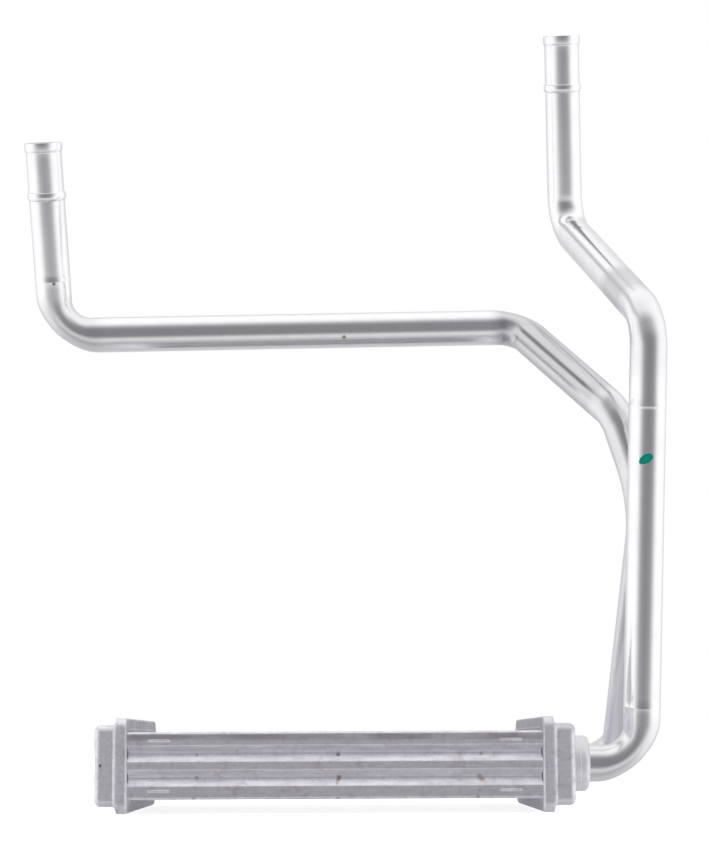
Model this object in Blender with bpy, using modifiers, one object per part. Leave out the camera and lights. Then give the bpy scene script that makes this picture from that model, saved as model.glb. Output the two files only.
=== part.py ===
"""Heater core: a brazed aluminium tube-and-fin matrix with two bent, beaded hose pipes.

The core lies flat on its large face. X runs from end tank to end tank, Y through the stack of
tubes and fins, Z up through the thickness of the core. Both pipes leave the right-hand tank.
All sizes are in metres. The origin is the bottom centre of the whole part's box.
"""
import math

import bmesh
import bpy
from mathutils import Matrix, Vector

# Clearance between brazed pieces that touch on the real part
GAP = 0.0003

# Matrix of flat tubes and fin strips
TUBE_COUNT = 16
TUBE_PITCH = 0.00988
TUBE_THICKNESS = 0.0020
TUBE_DEPTH = 0.0320
TUBE_WALL = 0.0004
TUBE_END_STEPS = 4
TUBE_REACH = 0.0030
FIN_FOLDS = 28
FIN_SHEET = 0.0004
FIN_END_CLEARANCE = 0.0020

# Header plates: a pressed pan with a raised field that holds the tubes
CORE_LENGTH = 0.2060
HEADER_OVERHANG_Y = 0.0014
HEADER_OVERHANG_Z = 0.0078
HEADER_DEPTH = 0.0066
HEADER_SHEET = 0.0012
HEADER_CORNER = 0.0060
HEADER_EDGE = 0.0014
FIELD_HEIGHT = 0.0010
FIELD_MARGIN_Y = 0.0040
FIELD_MARGIN_Z = 0.0021
FIELD_SLOPE = 0.0008
NOTCH_HEIGHT = 0.0045
NOTCH_DEPTH = 0.0013

# End tanks
TANK_INSET_Y = 0.0030
TANK_INSET_Z = 0.0034
TANK_RISE = 0.0108
TANK_SHEET = 0.0015
TANK_EDGE = 0.0032
TANK_CORNER = 0.0042
FOOT_WIDTH = 0.0020
BAFFLE_SHEET = 0.0015

# Side plates
PLATE_OVERHANG = 0.0008
PLATE_SHEET = 0.0010
PLATE_FLANGE = 0.0030
PLATE_EDGE = 0.0016
GROOVE_OFFSET = 0.00605
GROOVE_WIDTH = 0.0080
GROOVE_FLOOR = 0.0012
GROOVE_DEPTH = 0.0026
BAR_LENGTH = 0.0106
BAR_HEIGHT = 0.0015
BAR_RISE = 0.0006
BAR_FROM_EDGE = 0.0043
BAR_FROM_END = 0.0157

# Pipes: bored tube, drawn round tight bends that flatten it
PIPE_DIAMETER = 0.0190
PIPE_WALL = 0.0012
PIPE_SIDES = 16
PIPE_INSERTION = 0.0030
BEND_RADIUS = 0.0230
SWEEP_RADIUS = 0.0700
BEND_STEPS = 6
BEND_FLATTEN = 0.15
BEND_BULGE = 0.03
BOSS_A_OFFSET = 0.0550
BOSS_B_OFFSET = 0.0440
RIM_LENGTH = 0.0052
RIM_RISE = 0.0006
BEAD_FROM_TIP = 0.0282
BEAD_LENGTH = 0.0046
BEAD_RISE = 0.0008

# Main reaches of the pipes
HOSE_END_RISE = 0.0975
HOSE_END_FORWARD = 0.0368
RISER_A_HEIGHT = 0.2242
RISER_B_HEIGHT = 0.1338
RUN_B_LENGTH = 0.2506

# Legs of each pipe as vectors between corner points, from the tank out to the hose end
PIPE_A_LEGS = (
    ((0.0364, 0.0, 0.0), BEND_RADIUS),
    ((0.0031, -0.0476, RISER_A_HEIGHT), BEND_RADIUS),
    ((-0.0307, 0.1071, 0.0732), BEND_RADIUS),
    ((-0.0040, -HOSE_END_FORWARD, HOSE_END_RISE), None),
)
PIPE_B_LEGS = (
    ((0.0365, 0.0, 0.0), BEND_RADIUS),
    ((0.0059, -0.1049, RISER_B_HEIGHT), SWEEP_RADIUS),
    ((-0.0155, -0.0039, 0.0459), BEND_RADIUS),
    ((-0.0471, 0.0526, 0.0563), BEND_RADIUS),
    ((-RUN_B_LENGTH, -0.0117, -0.0059), BEND_RADIUS),
    ((-0.0041, -HOSE_END_FORWARD, HOSE_END_RISE), None),
)

# Turned collars round the pipes
BOSS_DIAMETER = 0.0286
BOSS_LENGTH = 0.0090
BOSS_FLANGE = 0.0040
BOSS_GROOVE_WIDTH = 0.0009
BOSS_GROOVE_DEPTH = 0.0006
BOSS_CHAMFER = 0.0012
BOSS_STEPS = 24

# Places that follow from the sizes above
HEADER_HALF_Z = TUBE_DEPTH / 2 + HEADER_OVERHANG_Z
MID_HEIGHT = HEADER_HALF_Z
FIELD_X = CORE_LENGTH / 2
PAN_X = FIELD_X + FIELD_HEIGHT
PAN_RIM_X = FIELD_X + HEADER_DEPTH
FOOT_X = PAN_RIM_X + GAP
TANK_FACE_X = FOOT_X + TANK_RISE
FIN_SPACE = TUBE_PITCH - TUBE_THICKNESS
STACK_HALF = TUBE_COUNT / 2 * TUBE_PITCH + FIN_SPACE / 2
PLATE_WEB_Y = STACK_HALF + PLATE_SHEET + GROOVE_DEPTH
PLATE_HALF_Z = TUBE_DEPTH / 2 + PLATE_OVERHANG
HEADER_HALF_Y = PLATE_WEB_Y + HEADER_OVERHANG_Y
TANK_HALF_Y = HEADER_HALF_Y - TANK_INSET_Y
TANK_HALF_Z = HEADER_HALF_Z - TANK_INSET_Z
FIELD_HALF_Y = (TUBE_COUNT - 1) / 2 * TUBE_PITCH + TUBE_THICKNESS / 2 + FIELD_MARGIN_Y
FIELD_HALF_Z = TUBE_DEPTH / 2 + FIELD_MARGIN_Z
PIPE_HOLE_RADIUS = PIPE_DIAMETER / 2 + GAP


def clear_scene():
    """Remove every object, so the script can be run again in the same file."""
    for old in list(bpy.data.objects):
        bpy.data.objects.remove(old, do_unlink=True)


def make_collection(name):
    """Return a new collection linked to the scene."""
    collection = bpy.data.collections.new(name)
    bpy.context.scene.collection.children.link(collection)
    return collection


def make_material(name, colour, roughness):
    """Bare aluminium: metallic, with its own tint and roughness."""
    material = bpy.data.materials.new(name)
    material.use_nodes = True
    shader = material.node_tree.nodes["Principled BSDF"]
    shader.inputs["Base Color"].default_value = (*colour, 1.0)
    shader.inputs["Metallic"].default_value = 1.0
    shader.inputs["Roughness"].default_value = roughness
    return material


class Assembly:
    """Collections, parent frame and shared settings of the part being built."""

    def __init__(self):
        self.pieces = make_collection("heater_core")
        self.cutters = make_collection("heater_core_cutters")
        self.frame = bpy.data.objects.new("core_frame", None)
        self.pieces.objects.link(self.frame)
        self.nodes = []

    def add(self, name, mesh, colour, roughness):
        """Make one named piece, with its own material, under the part's frame."""
        piece = bpy.data.objects.new(name, mesh)
        piece.parent = self.frame
        self.pieces.objects.link(piece)
        if not mesh.materials:
            mesh.materials.append(None)
        slot = piece.material_slots[0]
        slot.link = "OBJECT"
        slot.material = make_material(name + "_aluminium", colour, roughness)
        self.nodes.append(piece)
        return piece

    def add_cutter(self, name, mesh):
        """Make a hidden cutter under the part's frame."""
        cutter = bpy.data.objects.new(name, mesh)
        cutter.parent = self.frame
        cutter.hide_render = True
        cutter.display_type = "WIRE"
        self.cutters.objects.link(cutter)
        return cutter

    def rest_on_base(self):
        """Put the origin at the bottom centre of the whole part's box."""
        bpy.context.view_layer.update()
        graph = bpy.context.evaluated_depsgraph_get()
        corners = []
        for piece in self.nodes:
            solid = piece.evaluated_get(graph)
            corners += [solid.matrix_world @ Vector(corner) for corner in solid.bound_box]
        low = [min(corner[axis] for corner in corners) for axis in range(3)]
        high = [max(corner[axis] for corner in corners) for axis in range(3)]
        self.frame.location = (-(low[0] + high[0]) / 2, -(low[1] + high[1]) / 2, -low[2])


SHEET_COLOUR = (0.62, 0.62, 0.64)
TANK_COLOUR = (0.66, 0.66, 0.68)
FIN_COLOUR = (0.70, 0.70, 0.71)
PIPE_COLOUR = (0.80, 0.80, 0.81)
BOSS_COLOUR = (0.78, 0.78, 0.78)


def mesh_from_bmesh(name, bm):
    """Write a bmesh into a new mesh and free it."""
    mesh = bpy.data.meshes.new(name)
    bm.to_mesh(mesh)
    bm.free()
    return mesh


def rounded_rectangle(half_y, half_z, radius, steps=3):
    """Outline in the YZ plane, anticlockwise when seen from +X."""
    outline = []
    corners = ((1, 1, 0.0), (-1, 1, 0.5), (-1, -1, 1.0), (1, -1, 1.5))
    for sign_y, sign_z, start in corners:
        for step in range(steps + 1):
            angle = math.pi * (start + 0.5 * step / steps)
            y = sign_y * (half_y - radius) + radius * math.cos(angle)
            z = sign_z * (half_z - radius) + radius * math.sin(angle)
            outline.append((y, z))
    return outline


def shell_of_rings(name, rings):
    """Open shell through a list of (x, outline) rings, closed by a flat face on the last one."""
    bm = bmesh.new()
    loops = [[bm.verts.new((x, y, z)) for y, z in outline] for x, outline in rings]
    for lower, upper in zip(loops, loops[1:]):
        count = len(lower)
        for index in range(count):
            after = (index + 1) % count
            bm.faces.new((lower[index], lower[after], upper[after], upper[index]))
    bm.faces.new(loops[-1])
    return mesh_from_bmesh(name, bm)


def prism(name, outline, x_low, x_high, capped=True):
    """Straight prism along X over an outline in the YZ plane."""
    bm = bmesh.new()
    low = [bm.verts.new((x_low, y, z)) for y, z in outline]
    high = [bm.verts.new((x_high, y, z)) for y, z in outline]
    count = len(outline)
    for index in range(count):
        after = (index + 1) % count
        bm.faces.new((low[index], low[after], high[after], high[index]))
    if capped:
        bm.faces.new(high)
        bm.faces.new(low[::-1])
    return mesh_from_bmesh(name, bm)


def mirrored(mesh, axis):
    """Mirror image of a mesh across one of the core's mid-planes: 0 for X, 1 for Y."""
    copy = mesh.copy()
    copy.name = mesh.name + "_mirrored"
    signs = [1.0, 1.0, 1.0, 1.0]
    signs[axis] = -1.0
    copy.transform(Matrix.Diagonal(signs))
    copy.flip_normals()
    return copy


def join_meshes(name, meshes):
    """One mesh that holds several separate closed shapes, used for cutters and bars."""
    bm = bmesh.new()
    for mesh in meshes:
        bm.from_mesh(mesh)
        bpy.data.meshes.remove(mesh)
    return mesh_from_bmesh(name, bm)


def block(name, centre, size):
    """Box mesh with its centre and its full size."""
    bm = bmesh.new()
    bmesh.ops.create_cube(bm, size=1.0)
    bmesh.ops.scale(bm, vec=size, verts=bm.verts)
    bmesh.ops.translate(bm, vec=centre, verts=bm.verts)
    return mesh_from_bmesh(name, bm)


def solidify(piece, thickness, offset=-1.0):
    """Give an open shell its sheet thickness."""
    modifier = piece.modifiers.new("sheet", "SOLIDIFY")
    modifier.thickness = thickness
    modifier.offset = offset
    modifier.use_even_offset = True


def boolean(piece, cutter, operation="DIFFERENCE"):
    """Cut or join with another object, using the exact solver."""
    modifier = piece.modifiers.new(cutter.name, "BOOLEAN")
    modifier.operation = operation
    modifier.solver = "EXACT"
    modifier.object = cutter


def tube_places():
    """Y of each flat tube, from the front of the core to the back."""
    first = -(TUBE_COUNT - 1) / 2 * TUBE_PITCH
    return [first + index * TUBE_PITCH for index in range(TUBE_COUNT)]


def tube_outline(centre_y, spread=0.0):
    """Flat tube's outline in the YZ plane, widened by a clearance where asked."""
    radius = TUBE_THICKNESS / 2 + spread
    straight = TUBE_DEPTH / 2 + spread - radius
    outline = []
    for sign in (1, -1):
        for step in range(TUBE_END_STEPS + 1):
            angle = math.pi * step / TUBE_END_STEPS
            y = sign * radius * math.cos(angle)
            z = sign * (straight + radius * math.sin(angle))
            outline.append((centre_y + y, MID_HEIGHT + z))
    return outline


def build_tubes(assembly):
    """Flat tubes from tank to tank, open at both ends."""
    half_length = FIELD_X + HEADER_SHEET + TUBE_REACH
    for number, centre_y in enumerate(tube_places(), start=1):
        outline = tube_outline(centre_y)
        name = f"flat_tube_{number:02d}"
        mesh = prism(name, outline, -half_length, half_length, capped=False)
        piece = assembly.add(name, mesh, SHEET_COLOUR, 0.42)
        solidify(piece, TUBE_WALL)


def build_fins(assembly):
    """Corrugated fin strips that fill the spaces between the tubes and the side plates."""
    half_length = FIELD_X - FIN_END_CLEARANCE
    fold = 2 * half_length / FIN_FOLDS
    height = FIN_SPACE - 2 * GAP
    slope = math.atan2(height, fold)
    crest = height / 2 - FIN_SHEET / 2 / math.cos(slope)
    first = -TUBE_COUNT / 2 * TUBE_PITCH
    for number in range(TUBE_COUNT + 1):
        name = f"fin_strip_{number + 1:02d}"
        centre_y = first + number * TUBE_PITCH
        bm = bmesh.new()
        pairs = []
        for index in range(FIN_FOLDS + 1):
            x = -half_length + index * fold
            y = centre_y + (crest if index % 2 else -crest)
            low = bm.verts.new((x, y, MID_HEIGHT - TUBE_DEPTH / 2))
            high = bm.verts.new((x, y, MID_HEIGHT + TUBE_DEPTH / 2))
            pairs.append((low, high))
        for before, after in zip(pairs, pairs[1:]):
            bm.faces.new((before[0], after[0], after[1], before[1]))
        piece = assembly.add(name, mesh_from_bmesh(name, bm), FIN_COLOUR, 0.38)
        solidify(piece, FIN_SHEET, offset=0.0)


def raised(outline):
    """Move a YZ outline from the core's mid-plane up to its height above the base."""
    return [(y, MID_HEIGHT + z) for y, z in outline]


def header_mesh():
    """Right-hand header pan, seen from outside: raised tube field, flange and turned wall."""
    half_y = HEADER_HALF_Y
    half_z = HEADER_HALF_Z
    rings = [(PAN_RIM_X, rounded_rectangle(half_y, half_z, HEADER_CORNER))]
    arc_steps = 3
    for step in range(arc_steps + 1):
        angle = math.pi / 2 * step / arc_steps
        inset = HEADER_EDGE * (1 - math.cos(angle))
        x = PAN_X + HEADER_EDGE * (1 - math.sin(angle))
        outline = rounded_rectangle(half_y - inset, half_z - inset, HEADER_CORNER - inset)
        rings.append((x, outline))
    slope_y = FIELD_HALF_Y + FIELD_SLOPE
    slope_z = FIELD_HALF_Z + FIELD_SLOPE
    rings.append((PAN_X, rounded_rectangle(slope_y, slope_z, HEADER_CORNER / 2 + FIELD_SLOPE)))
    rings.append((FIELD_X, rounded_rectangle(FIELD_HALF_Y, FIELD_HALF_Z, HEADER_CORNER / 2)))
    rings = [(x, raised(outline)[::-1]) for x, outline in rings]
    return shell_of_rings("header", rings)


def build_headers(assembly):
    """Two header plates, with a slot for each tube and notches where the side grooves end."""
    slots = []
    for centre_y in tube_places():
        outline = tube_outline(centre_y, GAP)
        slots.append(prism("slot", outline, FIELD_X - HEADER_SHEET, PAN_X + 2 * HEADER_SHEET))
    slot_mesh = join_meshes("header_slots", slots)
    notches = []
    for side in (-1, 1):
        for offset in (-GROOVE_OFFSET, GROOVE_OFFSET):
            centre = (PAN_X, side * HEADER_HALF_Y, MID_HEIGHT + offset)
            size = (2 * NOTCH_DEPTH, 2 * NOTCH_DEPTH, NOTCH_HEIGHT)
            notches.append(block("notch", centre, size))
    notch_mesh = join_meshes("header_notches", notches)
    right = (header_mesh(), slot_mesh, notch_mesh)
    left = [mirrored(mesh, 0) for mesh in right]
    for side, (pan, slot_mesh, notch_mesh) in (("right", right), ("left", left)):
        piece = assembly.add("header_" + side, pan, SHEET_COLOUR, 0.45)
        solidify(piece, HEADER_SHEET)
        boolean(piece, assembly.add_cutter("header_slots_" + side, slot_mesh))
        boolean(piece, assembly.add_cutter("header_notches_" + side, notch_mesh))


def tank_mesh():
    """Right-hand end tank: foot flange, straight wall, rounded outer edge and flat face."""
    half_y = TANK_HALF_Y
    half_z = TANK_HALF_Z
    foot_corner = TANK_CORNER + FOOT_WIDTH
    foot = rounded_rectangle(half_y + FOOT_WIDTH, half_z + FOOT_WIDTH, foot_corner)
    rings = [(FOOT_X + TANK_SHEET, foot)]
    rings.append((FOOT_X + TANK_SHEET, rounded_rectangle(half_y, half_z, TANK_CORNER)))
    arc_steps = 4
    for step in range(arc_steps + 1):
        angle = math.pi / 2 * step / arc_steps
        inset = TANK_EDGE * (1 - math.cos(angle))
        x = TANK_FACE_X - TANK_EDGE * (1 - math.sin(angle))
        outline = rounded_rectangle(half_y - inset, half_z - inset, TANK_CORNER - inset)
        rings.append((x, outline))
    return shell_of_rings("tank", [(x, raised(outline)) for x, outline in rings])


def build_tanks(assembly):
    """Two drawn end tanks. The right one has the two pipe holes and the baffle."""
    mesh = tank_mesh()
    left = assembly.add("tank_left", mirrored(mesh, 0), TANK_COLOUR, 0.40)
    solidify(left, TANK_SHEET)
    right = assembly.add("tank_right", mesh, TANK_COLOUR, 0.40)
    solidify(right, TANK_SHEET)
    holes = []
    for centre_y in (-BOSS_A_OFFSET, BOSS_B_OFFSET):
        bm = bmesh.new()
        radius = PIPE_HOLE_RADIUS
        bmesh.ops.create_cone(bm, cap_ends=True, segments=BOSS_STEPS, radius1=radius,
                              radius2=radius, depth=4 * TANK_SHEET)
        turn_to_x(bm)
        centre = (TANK_FACE_X, centre_y, MID_HEIGHT)
        bmesh.ops.translate(bm, vec=centre, verts=bm.verts)
        holes.append(mesh_from_bmesh("hole", bm))
    boolean(right, assembly.add_cutter("pipe_holes", join_meshes("pipe_holes", holes)))
    build_baffle(assembly)


def turn_to_x(bm):
    """Turn a shape made along Z so that its axis lies along X."""
    matrix = Vector((0.0, 0.0, 1.0)).rotation_difference(Vector((1.0, 0.0, 0.0))).to_matrix()
    bmesh.ops.rotate(bm, matrix=matrix, verts=bm.verts)


def build_baffle(assembly):
    """Partition in the right tank, between the two middle tubes."""
    x_low = PAN_X + HEADER_SHEET + GAP
    x_high = TANK_FACE_X - TANK_SHEET - GAP
    height = 2 * (TANK_HALF_Z - TANK_SHEET - GAP)
    centre = ((x_low + x_high) / 2, 0.0, MID_HEIGHT)
    mesh = block("tank_baffle", centre, (x_high - x_low, BAFFLE_SHEET, height))
    bm = bmesh.new()
    bm.from_mesh(mesh)
    outer = []
    for edge in bm.edges:
        along_y = abs(edge.verts[0].co.y - edge.verts[1].co.y) > BAFFLE_SHEET / 2
        if along_y and edge.verts[0].co.x > centre[0]:
            outer.append(edge)
    bmesh.ops.bevel(bm, geom=outer, offset=TANK_EDGE, segments=3, affect="EDGES", profile=0.5)
    bm.to_mesh(mesh)
    bm.free()
    assembly.add("tank_baffle", mesh, SHEET_COLOUR, 0.45)


def plate_section():
    """Outer surface of a side plate as (depth behind the web, height from the mid-plane)."""
    half = PLATE_HALF_Z
    section = [(PLATE_FLANGE, half)]
    arc_steps = 3
    for step in range(arc_steps + 1):
        angle = math.pi / 2 * step / arc_steps
        depth = PLATE_EDGE * (1 - math.sin(angle))
        height = half - PLATE_EDGE * (1 - math.cos(angle))
        section.append((depth, height))
    slope_end = GROOVE_FLOOR / 2
    section.append((0.0, GROOVE_OFFSET + GROOVE_WIDTH / 2))
    section.append((GROOVE_DEPTH, GROOVE_OFFSET + slope_end))
    section.append((GROOVE_DEPTH, GROOVE_OFFSET - slope_end))
    section.append((0.0, GROOVE_OFFSET - GROOVE_WIDTH / 2))
    return section + [(depth, -height) for depth, height in section[::-1]]


def build_side_plates(assembly):
    """Pressed side plates with two long grooves and four short raised bars."""
    half_length = PAN_X - GAP
    bm = bmesh.new()
    pairs = []
    for depth, height in plate_section():
        y = -(PLATE_WEB_Y - depth)
        z = MID_HEIGHT + height
        pairs.append((bm.verts.new((-half_length, y, z)), bm.verts.new((half_length, y, z))))
    for upper, lower in zip(pairs, pairs[1:]):
        bm.faces.new((lower[0], lower[1], upper[1], upper[0]))
    mesh = mesh_from_bmesh("side_plate", bm)
    bars = []
    for side_x in (-1, 1):
        for side_z in (-1, 1):
            x = side_x * (half_length - BAR_FROM_END)
            centre = (x, -PLATE_WEB_Y, MID_HEIGHT + side_z * (PLATE_HALF_Z - BAR_FROM_EDGE))
            bars.append(block("bar", centre, (BAR_LENGTH, 2 * BAR_RISE, BAR_HEIGHT)))
    bar_mesh = join_meshes("raised_bars", bars)
    front = (mesh, bar_mesh)
    back = [mirrored(shape, 1) for shape in front]
    for side, (plate, bars) in (("front", front), ("back", back)):
        piece = assembly.add("side_plate_" + side, plate, SHEET_COLOUR, 0.42)
        solidify(piece, PLATE_SHEET)
        boolean(piece, assembly.add_cutter("raised_bars_" + side, bars), "UNION")


def build_boss(assembly, name, centre_y):
    """Turned collar on the tank's face: flange ring, shallow groove and chamfered nose."""
    outer = BOSS_DIAMETER / 2
    bore = PIPE_DIAMETER / 2 + GAP
    groove_top = BOSS_FLANGE + BOSS_GROOVE_WIDTH
    profile = (
        (outer - BOSS_CHAMFER, BOSS_LENGTH),
        (outer, BOSS_LENGTH - BOSS_CHAMFER),
        (outer, groove_top),
        (outer - BOSS_GROOVE_DEPTH, groove_top - BOSS_GROOVE_WIDTH / 2),
        (outer, BOSS_FLANGE),
        (outer, 0.0),
        (bore, 0.0),
        (bore, BOSS_LENGTH),
    )
    bm = bmesh.new()
    points = [bm.verts.new((radius, 0.0, height)) for radius, height in profile]
    for index, point in enumerate(points):
        bm.edges.new((point, points[(index + 1) % len(points)]))
    piece = assembly.add(name, mesh_from_bmesh(name, bm), BOSS_COLOUR, 0.50)
    piece.location = (TANK_FACE_X + GAP, centre_y, MID_HEIGHT)
    piece.rotation_euler = (0.0, math.pi / 2, 0.0)
    screw = piece.modifiers.new("turned", "SCREW")
    screw.axis = "Z"
    screw.steps = BOSS_STEPS
    screw.render_steps = BOSS_STEPS
    screw.use_merge_vertices = True
    screw.merge_threshold = 0.00005


class Station:
    """One ring of a pipe: where it is, which way it faces and how the bend squeezes it."""

    def __init__(self, place, along, inward, squeeze):
        self.place = place
        self.along = along
        self.inward = inward
        self.squeeze = squeeze


def pipe_corners(start, legs):
    """Corner points of a pipe from the tank out, and the bend radius at each inner corner."""
    corners = [start]
    for leg, _ in legs:
        corners.append(corners[-1] + Vector(leg))
    return corners, [radius for _, radius in legs[:-1]]


def bend_stations(before, corner, after, radius):
    """Rings round one bend, from its first tangent point to its last."""
    incoming = (corner - before).normalized()
    outgoing = (after - corner).normalized()
    angle = incoming.angle(outgoing)
    reach = radius * math.tan(angle / 2)
    inward = (outgoing - incoming).normalized()
    centre = corner + inward * (radius / math.cos(angle / 2))
    first = corner - incoming * reach
    spoke = (first - centre).normalized()
    steps = max(3, math.ceil(BEND_STEPS * angle / (math.pi / 2)))
    strength = min(1.0, angle / 1.2) * min(1.0, BEND_RADIUS / radius)
    stations = []
    for step in range(steps + 1):
        turn = angle * step / steps
        direction = math.cos(turn) * spoke + math.sin(turn) * incoming
        along = math.cos(turn) * incoming - math.sin(turn) * spoke
        share = step / steps
        squeeze = strength * min(1.0, 4 * share, 4 * (1 - share))
        stations.append(Station(centre + radius * direction, along, direction, squeeze))
    return stations


def hose_end_profile():
    """Rings of the hose end as (distance from the tip, rise above the tube's surface)."""
    profile = [
        (0.0, 0.3 * RIM_RISE),
        (0.12 * RIM_LENGTH, RIM_RISE),
        (0.75 * RIM_LENGTH, RIM_RISE),
        (RIM_LENGTH, 0.0),
    ]
    bead_steps = 6
    for step in range(bead_steps + 1):
        angle = math.pi * step / bead_steps
        distance = BEAD_FROM_TIP - BEAD_LENGTH / 2 * math.cos(angle)
        profile.append((distance, BEAD_RISE * math.sin(angle)))
    return profile


def pipe_mesh(name, corners, radii):
    """Hollow pipe swept along straight legs and bends, with a beaded hose end at its tip."""
    along = (corners[1] - corners[0]).normalized()
    stations = [(Station(corners[0], along, Vector((0.0, 0.0, 1.0)), 0.0), 0.0)]
    for index, radius in enumerate(radii, start=1):
        bend = bend_stations(corners[index - 1], corners[index], corners[index + 1], radius)
        stations += [(station, 0.0) for station in bend]
    tip = corners[-1]
    along = (tip - corners[-2]).normalized()
    inward = stations[-1][0].inward
    for distance, rise in reversed(hose_end_profile()):
        stations.append((Station(tip - along * distance, along, inward, 0.0), rise))
    bm = bmesh.new()
    across = stations[0][0].inward.copy()
    outer_rings = []
    inner_rings = []
    for station, rise in stations:
        across = (across - across.dot(station.along) * station.along).normalized()
        third = station.along.cross(across)
        for rings, radius in (
            (outer_rings, PIPE_DIAMETER / 2 + rise),
            (inner_rings, PIPE_DIAMETER / 2 - PIPE_WALL + rise),
        ):
            ring = []
            for side in range(PIPE_SIDES):
                angle = 2 * math.pi * side / PIPE_SIDES
                spoke = radius * (math.cos(angle) * across + math.sin(angle) * third)
                ring.append(bm.verts.new(station.place + squeezed(spoke, station)))
            rings.append(ring)
    for rings, flip in ((outer_rings, False), (inner_rings, True)):
        for lower, upper in zip(rings, rings[1:]):
            bridge(bm, lower, upper, flip)
    bridge(bm, inner_rings[0], outer_rings[0], False)
    bridge(bm, outer_rings[-1], inner_rings[-1], False)
    mesh = mesh_from_bmesh(name, bm)
    mesh.shade_smooth()
    mesh.set_sharp_from_angle(angle=math.radians(40))
    return mesh


def squeezed(spoke, station):
    """Flatten a ring's spoke in the plane of the bend and widen it across that plane."""
    level = station.inward
    upright = station.along.cross(level)
    flat = BEND_FLATTEN * station.squeeze * spoke.dot(level)
    bulge = BEND_BULGE * station.squeeze * spoke.dot(upright)
    return spoke - flat * level + bulge * upright


def bridge(bm, lower, upper, flip):
    """Quads between two rings of equal count."""
    count = len(lower)
    for index in range(count):
        after = (index + 1) % count
        quad = (lower[index], lower[after], upper[after], upper[index])
        bm.faces.new(quad[::-1] if flip else quad)


def build_pipes(assembly):
    """Both pipes and the collars that they are brazed into."""
    pipes = (("a", -BOSS_A_OFFSET, PIPE_A_LEGS), ("b", BOSS_B_OFFSET, PIPE_B_LEGS))
    inside = TANK_SHEET + PIPE_INSERTION
    for letter, centre_y, legs in pipes:
        build_boss(assembly, "boss_" + letter, centre_y)
        face = Vector((TANK_FACE_X, centre_y, MID_HEIGHT))
        corners, radii = pipe_corners(face, legs)
        corners[0] = face - Vector((inside, 0.0, 0.0))
        name = "pipe_" + letter
        assembly.add(name, pipe_mesh(name, corners, radii), PIPE_COLOUR, 0.25)


def main():
    """Build the whole part."""
    clear_scene()
    assembly = Assembly()
    build_side_plates(assembly)
    build_headers(assembly)
    build_tanks(assembly)
    build_pipes(assembly)
    build_tubes(assembly)
    build_fins(assembly)
    assembly.rest_on_base()


main()
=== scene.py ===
"""Looks of a brazed aluminium heater core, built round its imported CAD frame.

Each operator dresses one group of pieces. All places are in metres in the row's frame. The
core's own middle is worked out from the boxes of the CAD nodes.
"""
import math

import bmesh
import bpy
from bpy.props import FloatProperty, FloatVectorProperty, IntProperty, PointerProperty
from mathutils import Euler, Matrix, Vector


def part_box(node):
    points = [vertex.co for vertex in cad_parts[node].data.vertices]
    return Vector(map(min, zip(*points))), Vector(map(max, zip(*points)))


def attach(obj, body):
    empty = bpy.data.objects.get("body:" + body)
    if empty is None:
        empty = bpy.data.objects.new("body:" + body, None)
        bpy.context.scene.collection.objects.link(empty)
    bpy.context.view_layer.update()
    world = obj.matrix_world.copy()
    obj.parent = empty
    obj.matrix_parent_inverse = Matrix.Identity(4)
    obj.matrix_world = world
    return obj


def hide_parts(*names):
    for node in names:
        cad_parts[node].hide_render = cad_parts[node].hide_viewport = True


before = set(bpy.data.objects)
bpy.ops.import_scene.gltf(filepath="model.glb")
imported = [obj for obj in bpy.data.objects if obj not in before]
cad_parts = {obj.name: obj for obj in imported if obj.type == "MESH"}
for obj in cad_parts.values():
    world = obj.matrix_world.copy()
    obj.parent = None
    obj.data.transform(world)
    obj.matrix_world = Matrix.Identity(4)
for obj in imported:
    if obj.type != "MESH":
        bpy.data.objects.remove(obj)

bl_info = {
    "name": "Heater Core Looks",
    "version": (1, 0, 0),
    "blender": (4, 5, 0),
    "location": "3D View > Sidebar > Heater Core",
    "description": "Adds the detailed pieces, metals and studio of a heater core",
    "category": "Object",
}

BODY = "root"
MM = 0.001
TUBES = sorted(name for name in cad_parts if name.startswith("flat_tube"))
FIN_STRIPS = sorted(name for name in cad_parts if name.startswith("fin_strip"))

# Boxes of the CAD nodes that the pieces take their places from
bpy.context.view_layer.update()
HEADER_LEFT_LOW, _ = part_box("header_left")
HEADER_LOW, HEADER_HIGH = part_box("header_right")
TANK_LOW, TANK_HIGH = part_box("tank_right")
PLATE_LOW, PLATE_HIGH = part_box("side_plate_front")
BOSS_LOW, BOSS_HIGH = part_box("boss_a")
BOSS_B_LOW, BOSS_B_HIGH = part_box("boss_b")
FIN_LOW, FIN_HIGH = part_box(FIN_STRIPS[0])
MIDDLE = Vector((
    (HEADER_LEFT_LOW.x + HEADER_HIGH.x) / 2,
    (HEADER_LOW.y + HEADER_HIGH.y) / 2,
    0.0,
))
MID_HEIGHT = (HEADER_LOW.z + HEADER_HIGH.z) / 2
PIPE_CENTRES = {"a": (BOSS_LOW.y + BOSS_HIGH.y) / 2, "b": (BOSS_B_LOW.y + BOSS_B_HIGH.y) / 2}

# Steps in the rounded forms, and the exponent that gives a pressed ridge a soft foot
CORNER_STEPS = 12
EDGE_STEPS = 8
TANK_EDGE_STEPS = 12
FILLET_STEPS = 6
SOFT_FOOT = 1.5

# Pressed header plate
HEADER_SHEET = 1.2 * MM
HEADER_CORNER = 6.0 * MM
HEADER_EDGE = 1.4 * MM
FIELD_RISE = 1.0 * MM
FIELD_SLOPE = 0.8 * MM
FIELD_MARGIN_Y = 4.0 * MM
FIELD_MARGIN_Z = 2.1 * MM
FIELD_STEPS = 4
# Painted shade on the face towards the fins, which the fins and tube ends shade: how far past the
# pan it stays full, the length over which it fades, and how far above and below the middle it
# grows darker towards the top
SHADE_START = 0.2 * MM
SHADE_FADE = 0.8 * MM
SHADE_REACH = 16 * MM

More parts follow.
